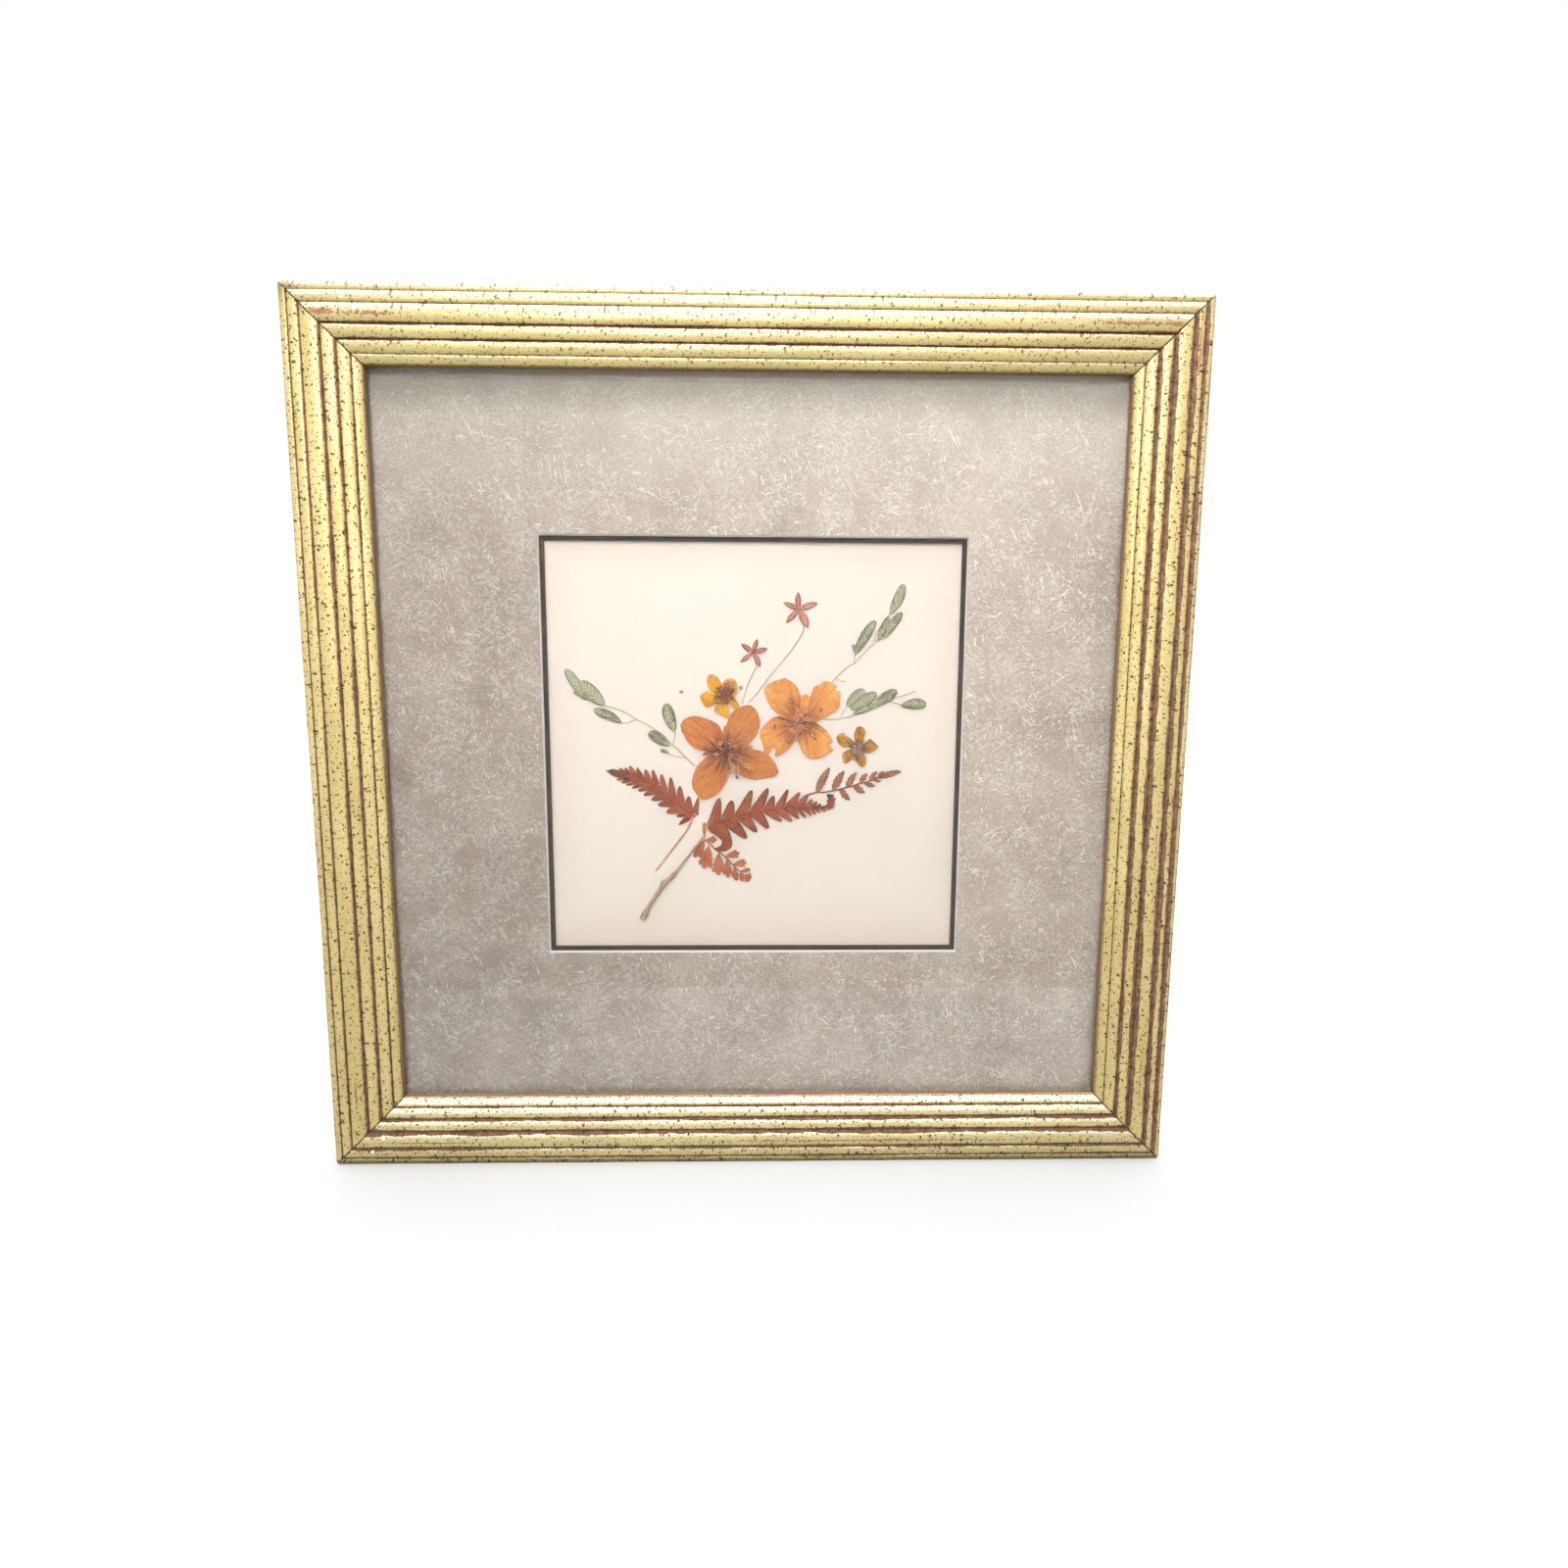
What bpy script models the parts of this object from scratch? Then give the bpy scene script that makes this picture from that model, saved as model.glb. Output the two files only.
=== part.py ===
"""Pressed flower frame: a square reeded gilt frame with glass, two window mats and a card that
carries a pressed bouquet of flowers, ferns and leaf sprays.

The frame stands on its bottom edge. +Z is up, the front faces -Y, and the origin is at the centre
of the bottom of the whole object. Depths are counted from the front of the moulding towards the
wall. The plants' outlines are in millimetres, to the right of and above the frame's centre.
"""
import math

import bmesh
import bpy

MM = 0.001
GAP = 0.0003                      # left between pieces that touch

# The frame
FRAME_SIDE = 0.292                # outer side of the square
RAIL_FACE = 0.024                 # outer edge to sight edge
RAIL_DEPTH = 0.019
REBATE = 0.005                    # how far the sheets reach behind the lip
LIP_BACK = 0.0069                 # depth of the lip's back, where the glass starts
GROOVES = (0.0, 0.0026, 0.0064, 0.0125, 0.0170, 0.0211, 0.0240)           # from the outer edge
GROOVE_DEPTHS = (0.0026, 0.0021, 0.0015, 0.0014, 0.0019, 0.0027, 0.0040)
REED_RISES = (0.0007, 0.0010, 0.00145, 0.0011, 0.0010, 0.0007)            # crests above grooves
REED_STEPS = (4, 6, 8, 6, 6, 5)
MITRE_GAP = 0.0002                # each rail's end stands back this far

# The stack of sheets behind the lip
SHEET_SIDE = FRAME_SIDE - 2 * (RAIL_FACE - REBATE)
GLASS_THICK = 0.002
MAT_THICK = 0.0013
LINER_THICK = 0.001
CARD_THICK = 0.001
BOARD_THICK = 0.003
WINDOW = 0.1416                   # opening at the back of the mat's bevel
BEVEL = 0.0005                    # width of the bevel, seen from the front
LINER_WINDOW = 0.1388
WINDOW_SHIFT = (0.00065, 0.00017)  # the window is cut a little off the centre

GLASS_FRONT = LIP_BACK + GAP
MAT_FRONT = GLASS_FRONT + GLASS_THICK + GAP
LINER_FRONT = MAT_FRONT + MAT_THICK + GAP
CARD_FRONT = LINER_FRONT + LINER_THICK + GAP
BOARD_FRONT = CARD_FRONT + CARD_THICK + GAP

# The back
PAPER_THICK = 0.0003
PAPER_MARGIN = 0.005
PAPER_FRONT = RAIL_DEPTH + GAP
HANGER_SIZE = (0.045, 0.009)
HANGER_THICK = 0.0006
HANGER_DROP = 0.0115              # top of the frame to the middle of the hanger
HANGER_TEETH = 9
TOOTH = 0.0022
NAIL_SPACING = 0.038
NAIL_HOLE = 0.0018                # diameter
NAIL_SHANK = 0.0011
NAIL_HEAD = 0.0042
HEAD_THICK = 0.0007
HANGER_FRONT = PAPER_FRONT + PAPER_THICK + GAP
HEAD_FRONT = HANGER_FRONT + HANGER_THICK + GAP
TOTAL_DEPTH = HEAD_FRONT + HEAD_THICK

# The pressed plants lie on the card in layers
LEAF_THICK = 0.00035
LAYER_STEP = LEAF_THICK + GAP
FAN_STEP = 0.000008               # one leaf of a plant is this much thinner than the one before
TWIG_DEPTH = 0.0110               # the twig's middle
SPECK_RADIUS = 0.0006

FRONT_Y = -TOTAL_DEPTH / 2
CENTRE_Z = FRAME_SIDE / 2

# name: (base colour, roughness, metallic)
FINISHES = {
    "gilding": ((0.62, 0.50, 0.26), 0.35, 0.8),
    "glass": ((0.95, 0.97, 0.96), 0.05, 0.0),
    "parchment": ((0.52, 0.47, 0.41), 0.8, 0.0),
    "black_board": ((0.05, 0.04, 0.035), 0.8, 0.0),
    "cream_card": ((0.90, 0.86, 0.76), 0.8, 0.0),
    "orange_petal": ((0.60, 0.24, 0.09), 0.7, 0.0),
    "amber_petal": ((0.78, 0.42, 0.14), 0.7, 0.0),
    "yellow_petal": ((0.80, 0.45, 0.06), 0.7, 0.0),
    "brown_petal": ((0.55, 0.30, 0.08), 0.7, 0.0),
    "pink_petal": ((0.42, 0.13, 0.09), 0.7, 0.0),
    "grey_leaf": ((0.26, 0.27, 0.18), 0.8, 0.0),
    "red_fern": ((0.34, 0.10, 0.06), 0.8, 0.0),
    "brown_fern": ((0.27, 0.12, 0.08), 0.8, 0.0),
    "rust_leaf": ((0.46, 0.17, 0.07), 0.8, 0.0),
    "twig_bark": ((0.36, 0.26, 0.16), 0.9, 0.0),
    "grey_board": ((0.30, 0.27, 0.22), 0.9, 0.0),
    "kraft_paper": ((0.42, 0.27, 0.14), 0.9, 0.0),
    "brass": ((0.60, 0.42, 0.16), 0.4, 0.9),
}

# Petals. A point given twice is a corner; the rest of the outline is round.
LARGE_LEFT_PETALS = (
    ((-9.6, -0.1), (-9.4, 3.5), (-10.5, 7.2), (-13.3, 9.9), (-19.8, 11.7), (-23.8, 9.7),
     (-24.0, 6.6), (-21.4, 2.2), (-18.3, 0.3), (-13.6, -0.4)),
    ((-8.6, -1.6), (-8.8, 4.1), (-8.5, 9.4), (-6.2, 13.3), (-1.5, 15.4), (1.4, 13.6),
     (2.6, 10.4), (2.1, 6.7), (-0.3, 3.2), (-3.1, 1.0)),
    ((-9.2, -0.9), (-4.3, 0.5), (0.7, 0.3), (5.4, -1.5), (8.8, -6.2), (7.9, -8.6),
     (1.3, -9.9), (-3.1, -8.7), (-5.9, -4.7)),
    ((-8.0, 0.4), (-12.1, -0.6), (-15.5, -2.2), (-19.0, -5.9), (-20.6, -11.3), (-19.0, -15.3),
     (-16.9, -17.0), (-13.4, -16.1), (-9.6, -11.9), (-7.8, -6.9), (-7.4, -3.4)),
)
LARGE_RIGHT_PETALS = (
    ((17.6, 9.4), (16.9, 16.7), (15.5, 21.1), (13.2, 23.6), (10.6, 24.5), (6.8, 23.3),
     (4.3, 21.3), (4.6, 18.3), (6.4, 14.9), (9.0, 12.6), (12.4, 10.9)),
    ((16.4, 9.3), (19.4, 17.3), (20.2, 19.7), (20.9, 21.5), (23.0, 22.6), (24.3, 23.7),
     (27.3, 23.1), (28.6, 21.8), (28.3, 20.3), (28.3, 20.3), (29.9, 20.0), (30.0, 17.4),
     (29.5, 14.6), (26.1, 12.2), (23.1, 10.7), (20.1, 9.6)),
    ((16.2, 10.2), (20.1, 9.8), (23.4, 8.5), (26.0, 6.2), (27.5, 3.2), (26.7, 2.5),
     (25.5, 2.4), (25.5, 2.4), (27.1, 1.2), (27.6, -0.1), (24.6, -1.8), (21.3, -2.9),
     (18.7, -2.1), (16.6, 1.2), (15.5, 4.4)),
    ((17.6, 10.2), (12.8, 11.1), (9.0, 11.8), (6.0, 10.4), (3.4, 7.6), (2.7, 4.8),
     (3.9, 1.6), (4.1, -0.4), (5.5, -1.3), (6.7, 0.5), (7.3, 1.4), (7.3, 1.4), (8.1, 0.3),
     (8.0, -2.0), (10.1, -1.2), (12.9, 1.2), (14.8, 4.2), (16.1, 7.2)),
    ((16.2, 9.6), (16.5, 17.3), (18.0, 19.1), (19.6, 18.0), (19.0, 13.7), (18.0, 9.6)),
)
SMALL_UPPER_PETALS = (
    ((-10.8, 17.6), (-10.4, 22.4), (-11.7, 24.8), (-13.8, 25.8), (-15.3, 24.4),
     (-14.8, 21.3), (-12.6, 18.7)),
    ((-10.6, 17.5), (-12.9, 19.5), (-15.4, 20.0), (-17.6, 18.5), (-17.0, 16.4),
     (-15.6, 14.8), (-12.9, 15.8)),
    ((-10.6, 18.2), (-12.5, 15.0), (-12.8, 13.6), (-11.0, 12.4), (-8.4, 11.2), (-7.8, 12.5),
     (-7.8, 14.4), (-8.9, 17.2)),
    ((-8.9, 18.3), (-7.1, 18.0), (-5.7, 17.6), (-4.3, 15.0), (-4.9, 13.8), (-7.1, 15.2)),
    ((-12.2, 18.2), (-11.4, 20.9), (-9.5, 23.5), (-7.8, 24.5), (-5.8, 23.8), (-5.0, 21.8),
     (-5.5, 19.6), (-7.1, 17.6), (-9.9, 16.5), (-11.7, 16.8)),
)
SMALL_RIGHT_PETALS = (
    ((36.0, 0.2), (35.1, 3.7), (35.0, 5.7), (35.7, 7.8), (36.8, 8.3), (38.1, 7.8),
     (38.8, 6.1), (38.2, 4.2), (37.2, 0.4)),
    ((36.5, 0.9), (33.9, 3.9), (31.8, 5.2), (31.8, 5.2), (31.4, 6.1), (29.6, 5.5),
     (28.9, 4.5), (29.5, 2.7), (31.0, 1.3), (32.9, 1.6), (35.4, 0.0)),
    ((36.7, 0.8), (33.4, 0.5), (31.8, -0.3), (30.9, -1.6), (31.4, -4.0), (32.5, -4.4),
     (33.8, -3.5), (34.3, -2.5), (36.6, -0.4)),
    ((36.1, 0.9), (35.3, -1.9), (35.8, -3.6), (36.8, -5.0), (37.8, -5.7), (38.9, -5.0),
     (39.2, -3.8), (38.9, -2.1), (37.3, 0.6)),
    ((35.7, 0.3), (38.1, 2.6), (39.2, 3.3), (40.3, 4.2), (40.3, 4.2), (41.8, 3.0),
     (43.4, 1.3), (43.4, 1.3), (41.8, -0.1), (40.2, -0.7), (38.2, -0.4)),
)

# Star flowers: the centre, the petals' tips with their widths, and the stem
TALL_STAR = ((15.7, 47.5), (((15.4, 53.5), 1.8), ((10.3, 49.9), 1.5), ((22.0, 49.8), 1.9),
                            ((11.3, 43.0), 1.7), ((18.8, 41.4), 2.4)))
TALL_STAR_STEM = ((17.2, 43.2), (17.4, 41.6), (16.4, 38.8), (14.8, 36.3), (12.4, 33.0),
                  (8.5, 28.4), (5.2, 24.2), (1.9, 19.8), (-1.2, 16.4))
SHORT_STAR = ((0.4, 33.0), (((1.9, 37.8), 1.5), ((-3.8, 36.1), 1.6), ((5.3, 34.5), 1.6),
                            ((-4.1, 29.9), 1.4), ((2.8, 28.2), 1.7)))
SHORT_STAR_STEM = ((0.9, 30.8), (1.3, 28.3), (0.2, 26.1), (-1.6, 22.0), (-3.4, 15.9))

# Leaf sprays: stems as (width, points), leaves as (base, tip, width)
LEFT_STEMS = (
    (0.50, ((-50.5, 15.1), (-47.4, 14.5), (-43.7, 13.1), (-39.5, 10.7), (-35.2, 8.4),
            (-32.4, 6.5), (-27.5, 2.2), (-24.4, -0.7), (-19.8, -5.2))),
    (0.40, ((-44.9, 9.3), (-42.6, 9.3), (-39.3, 10.5))),
    (0.40, ((-26.6, 7.2), (-26.2, 5.0), (-27.3, 1.8))),
    (0.40, ((-28.9, -1.0), (-26.0, -2.2), (-22.8, -2.4))),
)
LEFT_LEAVES = (
    ((-56.2, 16.9), (-62.9, 27.3), 3.1), ((-50.0, 15.0), (-58.0, 23.2), 4.2),
    ((-44.4, 9.4), (-53.6, 13.7), 3.1), ((-26.4, 6.4), (-29.2, 15.8), 3.9),
    ((-28.2, 1.6), (-35.1, 6.0), 3.6), ((-28.3, -1.0), (-31.3, 0.0), 1.2),
    ((-53.6, 16.6), (-60.4, 19.7), 1.5),
)
UPPER_STEMS = (
    (0.45, ((26.9, 23.3), (29.1, 25.6), (32.4, 28.6), (34.7, 29.9), (36.7, 31.9), (38.9, 34.5),
            (40.9, 36.5), (42.1, 40.1), (43.7, 42.7), (46.5, 46.9))),
    (0.40, ((40.7, 36.3), (42.2, 37.2), (44.6, 38.3))),
    (0.40, ((34.6, 29.7), (34.9, 34.0))),
    (0.35, ((28.2, 24.5), (29.3, 24.4), (30.2, 23.7), (31.8, 23.6))),
)
UPPER_LEAVES = (
    ((34.7, 32.6), (41.5, 44.0), 3.3), ((44.3, 38.0), (50.4, 46.9), 2.8),
    ((42.6, 37.3), (46.0, 45.3), 2.3), ((46.4, 46.3), (50.8, 56.1), 3.3),
    ((34.9, 32.9), (33.8, 36.1), 1.2),
)
RIGHT_STEMS = (
    (0.45, ((23.4, 11.0), (27.7, 10.7), (33.7, 11.8), (40.0, 13.5), (43.6, 15.5), (46.6, 17.1),
            (51.2, 18.8), (55.8, 20.5))),
    (0.40, ((29.7, 11.2), (31.6, 14.1), (32.8, 16.5))),
    (0.45, ((45.9, 16.9), (48.2, 16.5), (51.6, 15.6))),
)
RIGHT_LEAVES = (
    ((32.1, 15.4), (38.3, 20.7), 4.3), ((33.6, 14.1), (42.4, 19.6), 3.8),
    ((34.3, 12.5), (42.3, 16.1), 2.0), ((41.6, 15.4), (49.3, 20.6), 3.6),
    ((50.9, 15.5), (59.4, 16.0), 3.5),
)

# Lobed ferns: the notches along each side from base to tip, the lobes' tips between them,
# and the round end
LEFT_FERN_UPPER = (
    ((-18.6, -22.3), (-20.6, -21.0), (-23.3, -18.3), (-26.2, -15.7), (-28.9, -14.3),
     (-31.7, -12.3), (-34.5, -10.2), (-37.1, -9.2), (-39.5, -7.9), (-42.1, -7.2),
     (-43.7, -7.1), (-45.6, -7.0)),
    ((-18.5, -16.5), (-21.7, -16.0), (-24.8, -12.4), (-27.9, -9.4), (-31.1, -8.3),
     (-34.0, -6.8), (-36.5, -6.7), (-39.4, -6.1), (-41.9, -5.5), (-43.5, -6.2), (-45.3, -6.3)),
)
LEFT_FERN_END = ((-47.2, -6.4), (-48.5, -6.2), (-49.7, -6.7), (-49.8, -7.7), (-48.7, -8.4),
                 (-47.1, -8.7))
LEFT_FERN_LOWER = (
    ((-20.6, -23.8), (-22.9, -22.8), (-25.3, -21.6), (-28.1, -19.5), (-30.3, -17.2),
     (-32.4, -15.0), (-35.2, -13.5), (-37.5, -12.3), (-39.6, -11.7), (-41.5, -10.9),
     (-43.6, -10.4), (-45.6, -9.5)),
    ((-25.3, -26.0), (-26.0, -23.0), (-29.5, -21.7), (-32.3, -19.2), (-34.6, -17.3),
     (-37.2, -15.6), (-39.0, -14.2), (-41.3, -13.3), (-43.2, -12.2), (-44.8, -11.4),
     (-46.4, -10.3)),
)
LEFT_FERN_STEM = (0.65, ((-19.8, -22.0), (-22.2, -27.3), (-25.6, -32.1), (-29.7, -37.4),
                         (-33.4, -42.3)))
CENTRE_FERN_UPPER = (
    ((-15.5, -26.3), (-10.6, -23.9), (-5.7, -22.1), (-0.8, -21.2), (4.2, -19.9), (7.7, -19.9),
     (11.0, -19.4), (15.0, -18.9), (18.3, -18.9), (20.5, -19.1), (22.3, -19.2), (24.0, -19.3)),
    ((-11.2, -16.6), (-6.9, -17.4), (-0.1, -13.8), (5.5, -13.1), (7.5, -15.7), (12.4, -13.5),
     (16.5, -14.5), (19.2, -15.2), (20.9, -16.8), (22.4, -17.6), (23.8, -18.5)),
)
CENTRE_FERN_END = ((26.0, -19.2), (27.4, -19.2), (27.5, -20.0), (26.6, -20.5))
CENTRE_FERN_LOWER = (
    ((-10.6, -25.0), (-5.5, -23.2), (-0.8, -22.2), (3.9, -21.5), (7.7, -21.0), (11.4, -20.4),
     (14.6, -20.0), (17.1, -20.1), (19.2, -20.1), (21.3, -20.1), (23.3, -20.2), (25.4, -20.2)),
    ((-1.8, -30.7), (1.7, -28.5), (5.8, -27.2), (10.4, -24.8), (13.9, -24.7), (16.2, -23.8),
     (18.7, -23.6), (20.5, -22.8), (22.0, -22.3), (23.5, -21.7), (25.6, -21.2)),
)
CENTRE_FERN_HOOK = ((-7.2, -30.8), (-6.9, -33.3), (-8.4, -34.9), (-11.1, -35.4), (-13.3, -34.8),
                    (-13.0, -34.2), (-11.1, -33.4), (-10.2, -32.0), (-12.0, -30.0),
                    (-14.6, -28.3))
CENTRE_FERN_CURL = ((25.9, -20.3), (27.6, -20.1), (28.3, -19.2), (28.5, -17.4), (29.0, -16.5),
                    (28.1, -16.4), (28.1, -15.3), (26.0, -15.1), (25.7, -15.5), (26.4, -16.9),
                    (25.7, -17.4), (26.2, -18.1), (25.5, -19.0))

# Ferns with separate leaflets
RIGHT_FERN_STEM = (0.55, ((18.4, -15.8), (22.2, -14.6), (25.0, -14.5), (27.8, -13.9),
                          (30.4, -13.5), (32.6, -12.8), (34.7, -12.3), (37.6, -11.3),
                          (40.1, -10.8), (42.3, -9.9), (44.5, -8.9), (47.3, -8.0)))
RIGHT_FERN_LEAFLETS = (
    ((22.4, -14.6), (26.7, -5.9), 2.6), ((27.9, -14.0), (31.7, -7.0), 2.5),
    ((32.6, -12.9), (36.0, -7.5), 2.0), ((37.3, -11.5), (39.7, -7.8), 1.8),
    ((40.6, -10.7), (43.2, -7.1), 1.6), ((43.4, -9.6), (45.6, -7.1), 1.3),
    ((43.8, -9.4), (51.5, -7.2), 2.0), ((30.4, -13.3), (33.8, -17.3), 2.0),
    ((35.1, -12.1), (39.0, -14.7), 2.0), ((38.6, -11.0), (42.5, -12.3), 1.5),
    ((41.7, -10.0), (44.7, -10.5), 1.0),
)
CUT_LEAF_STEM = (0.55, ((-16.4, -31.1), (-12.6, -34.7), (-9.1, -37.5), (-6.3, -40.7),
                        (-3.5, -43.1), (-1.2, -45.0)))
CUT_LEAF_LEAFLETS = (
    ((-16.2, -31.0), (-20.1, -37.5), 3.6), ((-14.8, -32.9), (-16.5, -41.6), 4.1),
    ((-11.5, -35.4), (-11.7, -43.8), 3.6), ((-8.9, -37.9), (-8.1, -44.7), 2.9),
    ((-6.3, -40.8), (-5.3, -45.8), 2.2), ((-4.2, -42.7), (-3.1, -46.1), 1.7),
    ((-2.5, -43.9), (-0.9, -46.1), 2.1), ((-16.2, -31.4), (-12.2, -31.1), 2.1),
    ((-9.7, -37.4), (-4.3, -35.9), 2.4), ((-6.9, -40.2), (-1.9, -39.3), 2.4),
    ((-4.4, -42.6), (-0.5, -41.8), 1.5), ((-2.7, -44.0), (0.0, -44.3), 1.7),
    ((-16.5, -31.4), (-16.4, -25.2), 1.3),
)

# The twig: its points from the cut end up, each with the radius there
TWIG = (((-38.4, -59.3), 1.05), ((-37.4, -57.6), 1.15), ((-36.6, -56.0), 0.85),
        ((-35.5, -54.2), 0.75), ((-32.5, -49.8), 0.75), ((-31.3, -47.9), 0.8),
        ((-30.7, -46.6), 1.2), ((-29.9, -45.9), 0.85), ((-28.5, -44.9), 0.7),
        ((-27.5, -43.9), 1.0), ((-26.6, -42.9), 0.75), ((-25.6, -41.7), 0.45),
        ((-22.7, -37.9), 0.4), ((-18.2, -32.1), 0.38), ((-16.5, -30.0), 0.36))
LOOSE_SPECKS = {"loose_speck_left": (-24.0, 19.9), "loose_speck_upper": (-3.9, 21.4)}


def finish(name):
    """Return the material of that name, made on first use."""
    if name in bpy.data.materials:
        return bpy.data.materials[name]
    color, roughness, metallic = FINISHES[name]
    material = bpy.data.materials.new(name)
    material.use_nodes = True
    shader = material.node_tree.nodes["Principled BSDF"]
    shader.inputs["Base Color"].default_value = (*color, 1.0)
    shader.inputs["Roughness"].default_value = roughness
    shader.inputs["Metallic"].default_value = metallic
    return material


def new_collection(name, parent):
    collection = bpy.data.collections.new(name)
    parent.children.link(collection)
    return collection


def as_mesh(curve_object, name, collection):
    """Turn a curve object into a closed mesh object in the same place."""
    bpy.context.scene.collection.objects.link(curve_object)
    bpy.context.view_layer.update()
    evaluated = curve_object.evaluated_get(bpy.context.evaluated_depsgraph_get())
    mesh = bpy.data.meshes.new_from_object(evaluated)
    editable = bmesh.new()
    editable.from_mesh(mesh)
    bmesh.ops.remove_doubles(editable, verts=editable.verts, dist=0.000002)
    editable.to_mesh(mesh)
    editable.free()
    place = curve_object.matrix_world.copy()
    bpy.data.objects.remove(curve_object)
    solid = bpy.data.objects.new(name, mesh)
    solid.matrix_world = place
    collection.objects.link(solid)
    return solid


def flat_curve(name, outlines, thickness):
    """Return a filled 2D curve object with one closed spline for each outline, in metres."""
    curve = bpy.data.curves.new(name, "CURVE")
    curve.dimensions = "2D"
    curve.fill_mode = "BOTH"
    curve.extrude = thickness / 2
    for outline in outlines:
        spline = curve.splines.new("POLY")
        spline.points.add(len(outline) - 1)
        for point, (x, y) in zip(spline.points, outline):
            point.co = (x, y, 0.0, 1.0)
        spline.use_cyclic_u = True
    return bpy.data.objects.new(name, curve)


def upright_sheet(name, outlines, front, thickness, collection, material):
    """Stand a flat outline up around the frame's centre, with its face at the depth `front`."""
    curve_object = flat_curve(name, outlines, thickness)
    curve_object.rotation_euler = (math.pi / 2, 0.0, 0.0)
    curve_object.location = (0.0, FRONT_Y + front + thickness / 2, CENTRE_Z)
    sheet = as_mesh(curve_object, name, collection)
    sheet.data.materials.append(finish(material))
    return sheet


def square(half, centre=(0.0, 0.0)):
    x, y = centre
    return [(x - half, y - half), (x + half, y - half), (x + half, y + half), (x - half, y + half)]


def as_guide(guide):
    guide.hide_render = True
    guide.display_type = "WIRE"


def boolean(solid, operation, other):
    modifier = solid.modifiers.new(operation.lower(), "BOOLEAN")
    modifier.operation = operation
    modifier.solver = "EXACT"
    if isinstance(other, bpy.types.Collection):
        modifier.operand_type = "COLLECTION"
        modifier.collection = other
    else:
        modifier.object = other


def rail_profile():
    """Return the moulding's section as (distance from the centre, depth), outer edge first.

    Each reed is half an ellipse between two grooves.
    """
    points = [(0.0, RAIL_DEPTH)]
    for i, steps in enumerate(REED_STEPS):
        for step in range(steps):
            share = (1 - math.cos(math.pi * step / steps)) / 2
            across = GROOVES[i] + (GROOVES[i + 1] - GROOVES[i]) * share
            depth = GROOVE_DEPTHS[i] + (GROOVE_DEPTHS[i + 1] - GROOVE_DEPTHS[i]) * share
            points.append((across, depth - REED_RISES[i] * math.sin(math.pi * step / steps)))
    points.append((RAIL_FACE, GROOVE_DEPTHS[-1]))
    points.append((RAIL_FACE, LIP_BACK))
    points.append((RAIL_FACE - REBATE - GAP, LIP_BACK))
    points.append((RAIL_FACE - REBATE - GAP, RAIL_DEPTH))
    return [(across - FRAME_SIDE / 2, depth) for across, depth in points]


def build_rails(collection):
    """Make the four mitred rails from one length of moulding."""
    curve_object = flat_curve("moulding", [rail_profile()], FRAME_SIDE)
    moulding = as_mesh(curve_object, "moulding", collection)
    for vertex in moulding.data.vertices:
        reach = -vertex.co.x - MITRE_GAP
        vertex.co.z = math.copysign(reach, vertex.co.z)
    moulding.data.materials.append(finish("gilding"))
    moulding.data.shade_smooth()
    moulding.data.set_sharp_from_angle(angle=math.radians(40))
    turns = {"rail_bottom": -90, "rail_left": 0, "rail_top": 90, "rail_right": 180}
    for name, degrees in turns.items():
        rail = bpy.data.objects.new(name, moulding.data)
        rail.location = (0.0, FRONT_Y, CENTRE_Z)
        rail.rotation_euler = (0.0, math.radians(degrees), 0.0)
        collection.objects.link(rail)
    bpy.data.objects.remove(moulding)


def build_mat(parts, guides):
    """Make the parchment mat, whose window is cut with a sloping blade."""
    mat = upright_sheet("mat", [square(SHEET_SIDE / 2)], MAT_FRONT, MAT_THICK, parts, "parchment")
    blade_mesh = bmesh.new()
    bmesh.ops.create_cube(blade_mesh, size=1.0)
    slope = BEVEL / MAT_THICK
    for vertex in blade_mesh.verts:
        forward = -vertex.co.y * 2 * MAT_THICK
        half = WINDOW / 2 + slope * (forward + MAT_THICK / 2)
        vertex.co = (math.copysign(half, vertex.co.x), -forward, math.copysign(half, vertex.co.z))
    mesh = bpy.data.meshes.new("window_blade")
    blade_mesh.to_mesh(mesh)
    blade_mesh.free()
    blade = bpy.data.objects.new("window_blade", mesh)
    blade.location = (WINDOW_SHIFT[0], FRONT_Y + MAT_FRONT + MAT_THICK / 2,
                      CENTRE_Z + WINDOW_SHIFT[1])
    guides.objects.link(blade)
    as_guide(blade)
    boolean(mat, "DIFFERENCE", blade)


def build_sheets(parts, guides):
    """Make the glass, the two mats, the card and the backing board."""
    whole = [square(SHEET_SIDE / 2)]
    upright_sheet("glass", whole, GLASS_FRONT, GLASS_THICK, parts, "glass")
    build_mat(parts, guides)
    liner = whole + [square(LINER_WINDOW / 2, WINDOW_SHIFT)]
    upright_sheet("liner_mat", liner, LINER_FRONT, LINER_THICK, parts, "black_board")
    upright_sheet("card", whole, CARD_FRONT, CARD_THICK, parts, "cream_card")
    upright_sheet("backing_board", whole, BOARD_FRONT, BOARD_THICK, parts, "grey_board")


def hanger_outline():
    """Return the hanger's outline: a strip whose lower edge has a row of pointed teeth."""
    half_width, half_height = HANGER_SIZE[0] / 2, HANGER_SIZE[1] / 2
    toothed = NAIL_SPACING - 0.007
    outline = [(half_width, -half_height), (half_width, half_height), (-half_width, half_height),
               (-half_width, -half_height)]
    for tooth in range(HANGER_TEETH):
        start = -toothed / 2 + tooth * toothed / HANGER_TEETH
        outline.append((start, -half_height))
        outline.append((start + toothed / HANGER_TEETH / 2, -half_height + TOOTH))
    outline.append((toothed / 2, -half_height))
    return outline


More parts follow.
